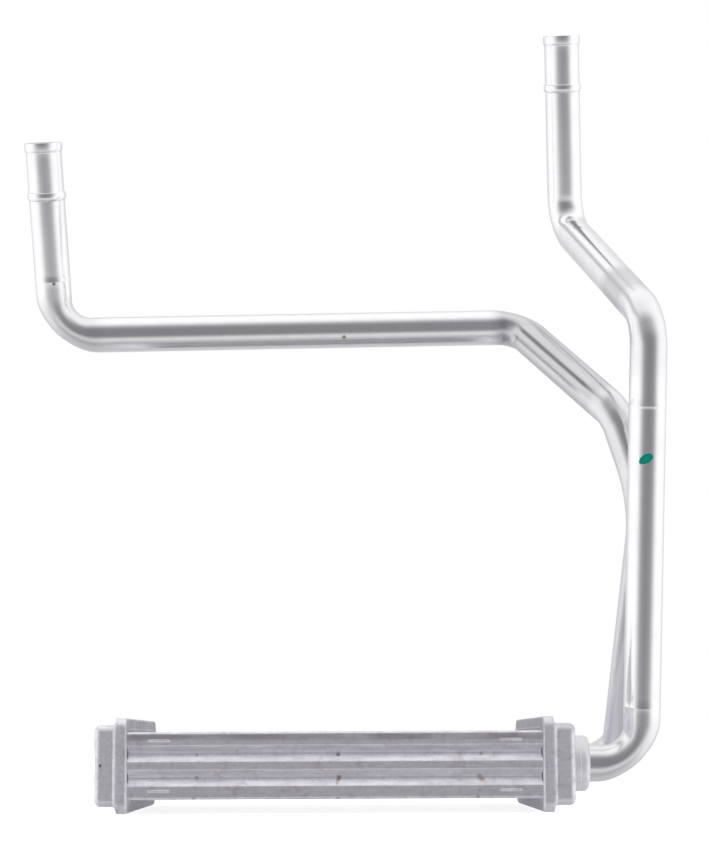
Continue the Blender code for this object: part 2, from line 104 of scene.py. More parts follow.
# Drawn end tank
TANK_SHEET = 1.5 * MM
TANK_EDGE = 3.2 * MM
TANK_CORNER = 4.2 * MM
FOOT_WIDTH = 2.0 * MM
FOOT_RIM = 0.5 * MM
FOOT_FILLET = 1.6 * MM

# Rounding of the sheared rims of headers and tanks
RIM_BEVEL = ("BEVEL", {
    "width": 0.35 * MM, "segments": 4, "limit_method": "ANGLE", "angle_limit": math.radians(60),
})

# Side plate
PLATE_SHEET = 1.0 * MM
PLATE_FLANGE = 3.0 * MM
PLATE_EDGE = 1.6 * MM
PLATE_STEPS = 70
SECTION_STEP = 0.26 * MM
GROOVE_OFFSET = 6.05 * MM
GROOVE_WIDTH = 8.4 * MM
GROOVE_FLOOR = 0.8 * MM
GROOVE_DEPTH = 2.7 * MM
GROOVE_EDGE = 1.4 * MM
GROOVE_FLOOR_EDGE = 0.5 * MM
BAR_LENGTH = 10.6 * MM
BAR_HEIGHT = 0.9 * MM
BAR_RISE = 0.6 * MM
BAR_CROWN = 0.4 * MM
BAR_FOOT = 0.75
BAR_FROM_EDGE = 4.3 * MM
BAR_FROM_END = 15.7 * MM
BAR_STEP = 0.33 * MM
BAR_STEPS = 20
# The braze carries the ends of the plate up to the header
PLATE_BRAZE = 0.7 * MM
# At its grooves the plate stops short of the header and leaves a dark notch
NOTCH_HEIGHT = 4.7 * MM
NOTCH_GAP = 0.15 * MM
# The pressed sheet isn't quite flat. Its waves shift by so many radians per metre of height
WAVE_HEIGHT = 0.06 * MM
WAVE_LENGTH = 11 * MM
WAVE_SHIFT = 40

# Collars
BOSS_SIDES = 96
BOSS_CLEARANCE = 0.1 * MM
BOSS_CHAMFER = 0.2 * MM
BOSS_FLANGE = 4.0 * MM
BOSS_GROOVE_WIDTH = 0.7 * MM
BOSS_GROOVE_DEPTH = 0.22 * MM
BOSS_GROOVE_EDGE = 0.15 * MM
BOSS_SHOULDER_LENGTH = 2.8 * MM
BOSS_SHOULDER_DROP = 3.3 * MM
BOSS_SHOULDER_STEPS = 6
# The braze sinks into the joint round the pipe: depth and distance from the bore, in millimetres
BOSS_BRAZE = ((0.1, 1.2), (0.3, 0.7), (0.1, 0.25), (0.0, 0.0))

# Pipes: the same route as the CAD pipes, as legs between corner points
PIPE_RADIUS = 9.5 * MM
PIPE_WALL = 1.2 * MM
INSERTION = TANK_SHEET + 3.0 * MM
BEND_RADIUS = 23.0 * MM
SWEEP_RADIUS = 70.0 * MM
RING_GAP = 4 * MM
# A bend of this many radians or more flattens fully, and reaches that before its middle
FULL_SQUEEZE = 1.2
BEND_EASE = 2.6
BEND_FLATTEN = 0.15
BEND_BULGE = 0.01
FEWEST_BEND_STEPS = 6
# The open ends are sawn a little off square, higher in front
TIP_SLANT = 0.075
TIP_REACH = 9.0 * MM
PIPE_A_LEGS = (
    ((0.0364, 0.0, 0.0), BEND_RADIUS),
    ((0.0031, -0.0471, 0.2242), BEND_RADIUS),
    ((-0.0307, 0.1066, 0.0732), BEND_RADIUS),
    ((-0.0040, -0.0368, 0.0975), None),
)
PIPE_B_LEGS = (
    ((0.0365, 0.0, 0.0), BEND_RADIUS),
    ((0.0058, -0.1049, 0.1338), SWEEP_RADIUS),
    ((-0.0154, -0.0039, 0.0459), BEND_RADIUS),
    ((-0.0471, 0.0526, 0.0563), BEND_RADIUS),
    ((-0.2506, -0.0117, -0.0059), BEND_RADIUS),
    ((-0.0041, -0.0368, 0.0975), None),
)
# Rolled rim: shares of its length from the tip, and of its rise
RIM_SHAPE = (
    (0.0, 0.25), (0.03, 0.6), (0.09, 0.92), (0.16, 1.0), (0.70, 1.0),
    (0.80, 0.85), (0.90, 0.30), (0.97, 0.05), (1.05, 0.0),
)
BEAD_STEPS = 14
# Step that the bending die's edge leaves round a pipe: millimetres along and up
SEAM_SHAPE = ((-1.6, 0.0), (-0.9, 0.14), (-0.3, 0.28), (0.0, 0.26), (0.4, 0.0))
# Places of these steps: metres along the pipe from the tank, and share of the full height
SEAMS_A = ((0.0570, 0.35), (0.2113, 1.0))
SEAMS_B = ((0.6035, 0.5),)

# Fin louvres: shares of the fin's height and of the louvres' pitch
LOUVRE_HEIGHT = 0.66
LOUVRE_WIDTH = 0.86
# Points in the rounded crest of a fold
CREST_POINTS = 4
# Inputs of the fin strip's node group, with their kinds
FIN_INPUTS = {
    "Length": "Float", "Height": "Float", "Depth": "Float", "Folds": "Int",
    "Foil": "Float", "Fold radius": "Float", "Louvres": "Int", "Louvre tilt": "Float",
}
# Its arithmetic, step by step: name, operation and operands. Parity is -1 and 1 in turn
FIN_VALUES = (
    ("half length", "MULTIPLY", "Length", 0.5),
    ("start", "MULTIPLY", "half length", -1.0),
    ("fold", "DIVIDE", "Length", "Folds"),
    ("half fold", "MULTIPLY", "fold", 0.5),
    ("first leg", "ADD", "start", "half fold"),
    ("crests", "ADD", "Folds", 1.0),
    ("odd", "MODULO", "Index", 2.0),
    ("twice odd", "MULTIPLY", "odd", 2.0),
    ("parity", "SUBTRACT", "twice odd", 1.0),
    ("half height", "MULTIPLY", "Height", 0.5),
    ("half foil", "MULTIPLY", "Foil", 0.5),
    ("swing", "SUBTRACT", "half height", "half foil"),
    ("shift", "MULTIPLY", "parity", "swing"),
    ("full swing", "MULTIPLY", "swing", 2.0),
    ("slant", "ARCTAN2", "fold", "full swing"),
    ("lean", "MULTIPLY", "slant", "parity"),
    ("gaps", "ADD", "Louvres", 1.0),
    ("pitch", "DIVIDE", "Depth", "gaps"),
    ("steps", "SUBTRACT", "Louvres", 1.0),
    ("half steps", "MULTIPLY", "steps", -0.5),
    ("first louvre", "MULTIPLY", "half steps", "pitch"),
    ("louvre height", "MULTIPLY", "Height", LOUVRE_HEIGHT),
    ("louvre width", "MULTIPLY", "pitch", LOUVRE_WIDTH),
)
# Its vectors, by the axes that aren't zero
FIN_VECTORS = {
    "crest start": {"X": "start"},
    "crest offset": {"Y": "shift"},
    "fold step": {"X": "fold"},
    "leg start": {"X": "first leg"},
    "leg turn": {"Z": "lean"},
    "louvre start": {"Z": "first louvre"},
    "louvre step": {"Z": "pitch"},
    "louvre turn": {"Y": "Louvre tilt"},
    "louvre size": {"X": "Foil", "Y": "louvre height", "Z": "louvre width"},
}
# Rows of points: name, count, start and step
FIN_ROWS = (
    ("crest row", "crests", "crest start", "fold step"),
    ("leg row", "Folds", "leg start", "fold step"),
    ("louvre row", "Louvres", "louvre start", "louvre step"),
)

# Marks that the photograph shows: millimetres from the core's middle, radius in millimetres,
# colour and strength
PLATE_STAINS = (
    (-69.3, -84.5, 29.2, 0.7, "#5A4A48", 0.60),
    (-69.1, -84.5, 17.8, 1.0, "#6B4E46", 0.50),
    (-70.6, -86.6, 7.6, 0.9, "#5A4238", 0.50),
    (1.5, -84.5, 29.3, 1.1, "#5A403C", 0.70),
    (1.9, -84.5, 17.7, 1.2, "#6A3E30", 0.70),
    (1.2, -84.5, 16.0, 0.9, "#8A5238", 0.50),
    (0.9, -85.5, 14.6, 0.8, "#8A5A44", 0.40),
    (1.4, -86.6, 7.1, 1.0, "#5A4238", 0.50),
    (73.1, -84.5, 29.5, 0.8, "#4F4240", 0.60),
    (72.2, -84.5, 18.0, 1.3, "#8A5A46", 0.50),
    (73.6, -84.5, 16.8, 1.2, "#7A4A3A", 0.50),
    (71.9, -86.0, 11.4, 1.0, "#6A4A42", 0.40),
    (71.2, -86.6, 7.8, 0.9, "#5A4238", 0.50),
    (72.6, -86.6, 37.9, 1.2, "#F2F2F0", 0.50),
)
TANK_STAINS = ((-117.5, -84.9, 24.0, 0.7, "#4A4A50", 0.9),)
STAINS_A = (
    (134.1, -23.9, 312.9, 1.6, "#B08C88", 0.6),
    (132.4, -22.0, 313.2, 1.2, "#B89A98", 0.5),
)
STAINS_B = (
    (5.5, -24.6, 252.5, 1.0, "#7A5A44", 0.8),
    (-149.6, -43.0, 278.5, 0.9, "#55505A", 0.8),
)
# The paint blot is a few balls that overlap: place and radius, and how sharp its edge is
PAINT_A = (
    (158.0, -97.0, 176.2, 2.6), (159.2, -97.2, 176.9, 2.2),
    (156.6, -96.6, 175.5, 2.3), (155.4, -96.2, 174.7, 1.6),
)
PAINT_EDGE = 0.35
# Darker bands along the front plate: one near its top edge, and painted shade on the
# downward-facing upper slopes of both grooves. Each holds its height above the middle, reach and
# strength
PLATE_BANDS_AND_SLOPE_SHADE = (
    (14.2 * MM, 2.1 * MM, 0.60),
    # These two bands on the grooves' downward-facing upper slopes are painted shade
    (GROOVE_OFFSET + 2.6 * MM, 2.2 * MM, 0.42),
    (2.6 * MM - GROOVE_OFFSET, 2.2 * MM, 0.30),
)
# Distances over which a tool mark, or a painted shade or reflection, on a pipe fades
MARK_START_FADE = 4 * MM
MARK_END_FADE = 5 * MM
# Dull stretches frosted by the bending tools, whose greyer colour is painted shade that dims the
# reflections in the bends, and narrow dark lines that are a painted reflection: from and to in
# metres from the tip, colour, added roughness, and middle and reach in metres round the pipe,
# where a reach of 1 goes all the way round
TOOL_MARKS_AND_PAINTED_SHADE_A = (
    (0.186, 0.214, "#D8D8DB", 0.20, 0.0, 1.0),
    (0.214, 0.256, "#ECECEE", 0.06, 0.0, 1.0),
    (0.434, 0.486, "#ECECEE", 0.05, 0.0, 1.0),
)
TOOL_MARKS_AND_PAINTED_LIGHT_B = (
    (0.084, 0.118, "#E4E4E6", 0.04, 0.0, 1.0),
    (0.334, 0.424, "#CBCBCE", 0.08, 0.0, 1.0),
    (0.424, 0.464, "#DEDEE0", 0.08, 0.0, 1.0),
    (0.464, 0.650, "#E8E8EB", 0.16, 0.0, 1.0),
    # Two narrow dark lines: a painted reflection of the front pipe's diagonal
    (0.352, 0.416, "#8C8C90", 0.02, 0.0196, 0.0016),
    (0.350, 0.408, "#A2A1A6", 0.02, 0.0146, 0.0014),
)

# Studio
CAMERA_ASIDE = 3.5 * MM
CAMERA_TURN = tuple(math.radians(degrees) for degrees in (98.143, 0.2772, -0.3201))
SENSOR_WIDTH = 36.0
VIEW_LIMIT = 50.0
LAMP_LENGTH = 1.4
LAMP_WIDTH = 1.0
LAMP_POWER = 5.0
LAMP_PLACE = (0.0, 0.1, 1.5)
FLOOR_REACH = 6.0
FLOOR_DROP = 0.05 * MM
PAPER_GLOW = 0.75
# Share of the darker room, by the angle above the camera's side in degrees over 360 plus 0.5,
# and by how far to a side the direction points
ROOM_BY_PITCH = tuple((0.5 + degrees / 360, level) for degrees, level in (
    (-180, 0.50), (-150, 0.52), (-130, 0.58), (-100, 0.60), (-88, 0.66), (-78, 0.72), (-70, 0.72),
    (-62, 0.65), (-55, 0.50), (-46, 0.40), (-38, 0.48), (-31, 0.70), (-24, 0.93), (-15, 0.99),
    (24, 0.98), (34, 0.88), (42, 0.75), (50, 0.52), (60, 0.22), (75, 0.03), (100, 0.0),
    (118, 0.06), (132, 0.28), (155, 0.42), (180, 0.50),
))
ROOM_BY_SIDE = (
    (0.0, 1.0), (0.42, 0.92), (0.52, 0.84), (0.66, 0.62), (0.78, 0.30), (0.90, 0.05), (0.98, 0.0),
)
# A seam of the tent runs across its left side
SEAM_HEIGHT = 0.67
SEAM_WIDTH = 0.12
SEAM_STRENGTH = 0.60
SEAM_START = -0.50
SEAM_END = -0.38


def linear_colour(code):
    """Turn an sRGB hex colour such as #C8C8CC into the linear values that nodes take."""
    values = []
    for start in (1, 3, 5):
        share = int(code[start:start + 2], 16) / 255
        values.append(share / 12.92 if share <= 0.04045 else ((share + 0.055) / 1.055) ** 2.4)
    return (*values, 1.0)


def set_sockets(tree, node, sockets):
    """Set or link a node's inputs, given in order or by name.

    A node links its first output that is in use, and a hex code is turned into a colour.
    """
    pairs = sockets.items() if isinstance(sockets, dict) else enumerate(sockets)
    for key, value in pairs:
        if isinstance(key, str):
            socket = next(item for item in node.inputs if item.name == key and item.enabled)
        else:
            socket = node.inputs[key]
        if isinstance(value, bpy.types.Node):
            value = next(item for item in value.outputs if item.enabled)
        if isinstance(value, bpy.types.NodeSocket):
            tree.links.new(value, socket)
        else:
            socket.default_value = linear_colour(value) if isinstance(value, str) else value


def add_node(tree, kind, sockets=(), **settings):
    """Add a node, set its properties, and set or link its inputs."""
    node = tree.nodes.new(kind)
    for name, value in settings.items():
        setattr(node, name, value)
    set_sockets(tree, node, sockets)
    return node


class CoreSizes(bpy.types.PropertyGroup):
    """Sizes of the core's small repeated forms."""

    fold_pitch: FloatProperty(
        name="Fold pitch", default=1.5 * MM, unit="LENGTH",
        description="Distance along the strip from one fold of the fin to the next",
    )
    foil: FloatProperty(
        name="Fin foil", default=0.16 * MM, unit="LENGTH",
        description="Thickness of the fin foil, thicker than real foil so that it shows",
    )
    fold_radius: FloatProperty(
        name="Fold radius", default=0.5 * MM, unit="LENGTH",
        description="Radius of a fold's crest, which takes about 1.2 mm off its height",
    )
    louvres: IntProperty(
        name="Louvres", default=12, min=0, description="Louvres in one leg of a fold",
    )
    louvre_tilt: FloatProperty(
        name="Louvre tilt", default=math.radians(24), subtype="ANGLE",
        description="Angle between a louvre and the leg that it is cut from",
    )


class PipeSizes(bpy.types.PropertyGroup):
    """Sizes of the hose ends and the smoothness of the pipes."""

    sides: IntProperty(name="Sides", default=64, min=12, description="Faces around a pipe")
    bend_steps: IntProperty(
        name="Bend steps", default=28, min=4, description="Rings in a quarter turn of a bend",
    )
    rim_length: FloatProperty(
        name="Rim length", default=5.2 * MM, unit="LENGTH",
        description="Length of the rolled rim at the open end",
    )
    rim_rise: FloatProperty(
        name="Rim rise", default=0.56 * MM, unit="LENGTH",
        description="Height of the rolled rim above the pipe",
    )
    bead_from_tip: FloatProperty(
        name="Bead place", default=28.2 * MM, unit="LENGTH",
        description="Distance from the open end to the middle of the hose bead",
    )
    bead_length: FloatProperty(
        name="Bead length", default=4.6 * MM, unit="LENGTH",
        description="Length of the hose bead along the pipe",
    )
    bead_rise: FloatProperty(
        name="Bead rise", default=0.8 * MM, unit="LENGTH",
        description="Height of the hose bead above the pipe",
    )


class MetalFinish(bpy.types.PropertyGroup):
    """Colours of the metals."""

    pipe: FloatVectorProperty(
        name="Pipe", default=linear_colour("#F8F8F9"), size=4, subtype="COLOR",
        description="Colour of the drawn aluminium pipe",
    )
    sheet: FloatVectorProperty(
        name="Sheet", default=linear_colour("#F8F7FC"), size=4, subtype="COLOR",
        description="Colour of the brazed aluminium sheet",
    )
    tank: FloatVectorProperty(
        name="Tank", default=linear_colour("#F6F5FA"), size=4, subtype="COLOR",
        description="Colour of the drawn aluminium tanks",
    )
    boss: FloatVectorProperty(
        name="Collar", default=linear_colour("#F6F6F8"), size=4, subtype="COLOR",
        description="Colour of the turned collars under their flux",
    )
    paint: FloatVectorProperty(
        name="Paint mark", default=linear_colour("#008C7C"), size=4, subtype="COLOR",
        description="Colour of the inspector's paint blot on the front pipe",
    )


class StudioSettings(bpy.types.PropertyGroup):
    """Camera and light."""

    lens: FloatProperty(
        name="Lens", default=112.47, unit="CAMERA",
        description="Focal length in millimetres on a sensor 36 mm wide",
    )
    distance: FloatProperty(
        name="Distance", default=1.206, unit="LENGTH",
        description="Distance from the core's middle to the camera along Y",
    )
    height: FloatProperty(
        name="Camera height", default=35.25 * MM, unit="LENGTH",
        description="Height of the camera above the surface that the core lies on",
    )
    sky: FloatProperty(
        name="Tent brightness", default=1.12,
        description="Brightness of the white tent round the object",
    )
    camera_side: FloatProperty(
        name="Camera side", default=0.235,
        description="Brightness of the darker room on the camera's side",
    )


# Meshes


def quarter_turn(steps):
    """Pairs of 1 - cosine and 1 - sine, from no turn to a quarter turn."""
    angles = [math.pi / 2 * step / steps for step in range(steps + 1)]
    return [(1 - math.cos(angle), 1 - math.sin(angle)) for angle in angles]


def rounded_rectangle(half_y, half_z, radius):
    """Outline in the YZ plane, anticlockwise when seen from +X."""
    outline = []
    corners = ((1, 1, 0.0), (-1, 1, 0.5), (-1, -1, 1.0), (1, -1, 1.5))
    for sign_y, sign_z, start in corners:
        for step in range(CORNER_STEPS + 1):
            angle = math.pi * (start + 0.5 * step / CORNER_STEPS)
            y = sign_y * (half_y - radius) + radius * math.cos(angle)
            z = sign_z * (half_z - radius) + radius * math.sin(angle)
            outline.append((y, z))
    return outline


def fillet(before, corner, after, radius):
    """Points of the arc that rounds a corner of a section."""
    incoming = (before - corner).normalized()
    outgoing = (after - corner).normalized()
    half_angle = incoming.angle(outgoing) / 2
    reach = radius / math.tan(half_angle)
    centre = corner + (incoming + outgoing).normalized() * (radius / math.sin(half_angle))
    first = corner + incoming * reach - centre
    last = corner + outgoing * reach - centre
    spokes = [first.lerp(last, step / FILLET_STEPS) for step in range(FILLET_STEPS + 1)]
    return [centre + spoke.normalized() * radius for spoke in spokes]


def bar_rise(across, height):
    """Height of a pressed bar above the web: a half-round ridge with round ends."""
    beyond = max(0.0, abs(across) - (BAR_LENGTH - BAR_HEIGHT) / 2)
    share = math.hypot(beyond, height) / (BAR_FOOT * BAR_HEIGHT)
    return BAR_CROWN * max(0.0, 1 - share * share) ** SOFT_FOOT


def join_loops(bm, lower, upper):
    """Quads between two closed loops with equally many points."""
    count = len(lower)
    for index in range(count):
        after = (index + 1) % count
        bm.faces.new((lower[index], lower[after], upper[after], upper[index]))


def mesh_from(bm, name):
    """Mesh of a finished bmesh, which is freed."""
    mesh = bpy.data.meshes.new(name)
    bm.to_mesh(mesh)
    bm.free()
    return mesh


def smooth_by_angle(mesh, degrees):
    """Smooth shading with creases where faces meet at more than the angle."""
    mesh.shade_smooth()
    mesh.set_sharp_from_angle(angle=math.radians(degrees))


def sheet_metal(thickness):
    """Modifier that gives a surface the thickness of its sheet, inwards."""
    return "SOLIDIFY", {"thickness": thickness, "offset": -1.0, "use_even_offset": True}


def linked(name, data):
    """New object at the origin of the scene."""
    thing = bpy.data.objects.new(name, data)
    bpy.context.scene.collection.objects.link(thing)
    return thing


def applied(name, mesh, *modifiers):
    """Run a mesh through modifiers, each a kind and its settings, and return the result."""
    scratch = linked(name, mesh)
    for kind, settings in modifiers:
        modifier = scratch.modifiers.new(kind.lower(), kind)
        for key, value in settings.items():
            setattr(modifier, key, value)
    graph = bpy.context.evaluated_depsgraph_get()
    result = bpy.data.meshes.new_from_object(scratch.evaluated_get(graph))
    result.name = name
    bpy.data.objects.remove(scratch)
    return result


def mirrored(mesh, axis):
    """Mirror image of a mesh across one of the planes through its zero."""
    copy = mesh.copy()
    signs = [1.0, 1.0, 1.0, 1.0]
    signs[axis] = -1.0
    copy.transform(Matrix.Diagonal(signs))
    copy.flip_normals()
    return copy


def new_piece(name, mesh, material, node):
    """Link a finished mesh and make it stand for its CAD node."""
    piece = linked(name, mesh)
    mesh.materials.clear()
    mesh.materials.append(material)
    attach(piece, BODY)
    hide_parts(node)


def add_pair(kind, rings, thickness, material):
    """Skin the (x, outline) rings of the right-hand shell, and add it and its mirror image."""
    bm = bmesh.new()
    loops = []
    for x, outline in rings:
        loops.append([bm.verts.new((x, y, z + MID_HEIGHT)) for y, z in outline])
    for lower, upper in zip(loops, loops[1:]):
        join_loops(bm, lower, upper)
    bm.faces.new(loops[-1])
    shell = mesh_from(bm, kind + "_shell")
    right = applied("right_" + kind, shell, sheet_metal(thickness), RIM_BEVEL)
    smooth_by_angle(right, 35)
    left = mirrored(right, 0)
    for side, mesh in (("right", right), ("left", left)):
        mesh.transform(Matrix.Translation(MIDDLE))
        new_piece(f"{side}_{kind}", mesh, material, f"{kind}_{side}")


# Materials


def start_material(name):
    """New node material: its tree, its Principled shader and its Object coordinates."""
    material = bpy.data.materials.new(name)
    material.use_nodes = True
    tree = material.node_tree
    place = add_node(tree, "ShaderNodeTexCoord").outputs["Object"]
    return material, tree, tree.nodes["Principled BSDF"], place


def mottle(tree, place, size, detail=3.0, roughness=0.5, stretch=(1.0, 1.0, 1.0)):
    """Pattern of blobs about size millimetres across, longer along an axis stretched under 1."""
    drawn = add_node(tree, "ShaderNodeMapping", {"Vector": place, "Scale": stretch})
    return add_node(tree, "ShaderNodeTexNoise", {
        "Vector": drawn, "Scale": 1.0 / (size * MM), "Detail": detail, "Roughness": roughness,
    })


def layered(tree, *layers):
    """Sum of patterns: each gives nothing below its low, and its whole amount above its high."""
    total = 0.0
    for pattern, low, high, amount in layers:
        share = add_node(tree, "ShaderNodeMapRange", (pattern, low, high, 0.0, amount))
        total = add_node(tree, "ShaderNodeMath", (total, share), operation="ADD")
    return total


def coated(tree, base, *coats):
    """Colour under coats, each with its mask and its colour."""
    for mask, colour in coats:
        sockets = {"Factor": mask, "A": base, "B": colour}
        base = add_node(tree, "ShaderNodeMix", sockets, data_type="RGBA")
    return base


def dulled(tree, rough, *marks):
    """Roughness with an amount added under each mask."""
    for mask, amount in marks:
        rough = add_node(tree, "ShaderNodeMath", (mask, amount, rough), operation="MULTIPLY_ADD")
    return rough


def relief(tree, *layers):
    """Normal over bumps, each with its pattern and its height in millimetres."""
    sockets = {"Strength": 1.0}
    for pattern, height in layers:
        sockets.update({"Height": pattern, "Distance": height * MM})
        sockets["Normal"] = normal = add_node(tree, "ShaderNodeBump", sockets)
    return normal


def band(tree, value, middle, inner, outer, level=1.0):
    """Mask across a band: level near its middle, and nothing past its outer edge."""
    away = add_node(tree, "ShaderNodeMath", (value, middle), operation="SUBTRACT")
    away = add_node(tree, "ShaderNodeMath", (away,), operation="ABSOLUTE")
    return add_node(tree, "ShaderNodeMapRange", (away, inner, outer, level, 0.0))


def spot(tree, place, x, y, z, radius, softness):
    """Mask that is 1 in a ball, in millimetres from the core's middle, and fades over its edge."""
    point = MIDDLE + Vector((x, y, z)) * MM
    away = add_node(tree, "ShaderNodeVectorMath", (place, point), operation="DISTANCE")
    inner = (radius - softness / 2) * MM
    outer = (radius + softness / 2) * MM
    return add_node(tree, "ShaderNodeMapRange", (away, inner, outer, 1.0, 0.0))


def wandering(tree, place, size, amount):
    """Coordinates pushed about by millimetres, so that stains get ragged edges."""
    sockets = {"Vector": place, "Scale": 1.0 / (size * MM)}
    push = add_node(tree, "ShaderNodeTexNoise", sockets).outputs["Color"]
    push = add_node(tree, "ShaderNodeVectorMath", (push, (0.5, 0.5, 0.5)), operation="SUBTRACT")
    sockets = (push, (amount * MM,) * 3, place)
    return add_node(tree, "ShaderNodeVectorMath", sockets, operation="MULTIPLY_ADD")


def stained(tree, place, base, rough, stains, dulling):
    """Colour and roughness under small spots, which are duller than the metal."""
    for *ball, code, strength in stains:
        mask = spot(tree, place, *ball, ball[-1])
        mask = add_node(tree, "ShaderNodeMath", (mask, strength), operation="MULTIPLY")
        base = coated(tree, base, (mask, code))
        rough = dulled(tree, rough, (mask, dulling))
    return base, rough


def drawn_pipe_material(letter, stains, paint, marks_and_painted_light):
    """Drawn aluminium tube: bright satin metal with fine lines along its length.

    The die leaves long hair lines that soften the reflection across the pipe. Handling leaves
    duller clouds a few millimetres wide and short rubs.
    """
    finish = bpy.context.scene.metal_finish
    material, tree, shader, place = start_material("drawn aluminium pipe " + letter)
    run = add_node(tree, "ShaderNodeUVMap", uv_map="run")
    # Draw lines: 0.35 mm apart round the pipe and 45 mm long
    lines = mottle(tree, run, 0.35, 2.0, stretch=(1.0, 0.008, 1.0))
    clouds = mottle(tree, place, 9, 4.0, 0.6)
    grain = mottle(tree, place, 0.9, 2.0)
    # Rubs: about 10 mm long and 0.6 mm wide, only where the pattern peaks
    rubs = mottle(tree, run, 0.6, 3.0, 0.7, (1.0, 0.06, 1.0))
    rubs = add_node(tree, "ShaderNodeMapRange", (rubs, 0.62, 0.72))
    rough = dulled(tree, 0.10, (clouds, 0.08), (lines, 0.05), (rubs, 0.05))
    tone = layered(tree, (grain, 0.3, 0.7, 0.06), (clouds, 0.35, 0.65, 0.08))
    base = coated(tree, tuple(finish.pipe), (tone, "#B9B9BE"))
    # Dull stretches from the bending tools, greyed as painted shade over the bends, and long dark
    # lines painted as a reflection, a little streaky
    parts = add_node(tree, "ShaderNodeSeparateXYZ", (run,)).outputs
    streaks = mottle(tree, run, 1.8, 2.0, 0.5, (1.0, 0.05, 1.0))
    streaks = add_node(tree, "ShaderNodeMapRange", (streaks, 0.3, 0.7, 0.75, 1.0))
    for start, end, code, blur, middle, reach in marks_and_painted_light:
        opening = (parts["Y"], start - MARK_START_FADE, start + MARK_START_FADE)
        closing = (parts["Y"], end - MARK_END_FADE, end + MARK_END_FADE, 1.0, 0.0)
        masks = [add_node(tree, "ShaderNodeMapRange", fade) for fade in (opening, closing)]
        mark = streaks
        for mask in (*masks, band(tree, parts["X"], middle, 0.3 * reach, reach)):
            mark = add_node(tree, "ShaderNodeMath", (mark, mask), operation="MULTIPLY")
        base = coated(tree, base, (mark, code))
        rough = dulled(tree, rough, (mark, blur))
    base, rough = stained(tree, wandering(tree, place, 1.2, 0.8), base, rough, stains, 0.25)
    metal = 1.0
    if paint:
        wet = wandering(tree, place, 2.5, 0.6)
        blot = 0.0
        for ball in paint:
            mask = spot(tree, wet, *ball, PAINT_EDGE)
            blot = add_node(tree, "ShaderNodeMath", (blot, mask), operation="MAXIMUM")
        base = coated(tree, base, (blot, tuple(finish.paint)))
        metal = add_node(tree, "ShaderNodeMath", (1.0, blot), operation="SUBTRACT")
        rough = dulled(tree, rough, (blot, 0.3))
        shader.inputs["Specular IOR Level"].default_value = 0.1
    set_sockets(tree, shader, {
        "Base Color": base, "Roughness": rough, "Metallic": metal,
        "Normal": relief(tree, (lines, 0.006), (grain, 0.010)),
    })
    return material


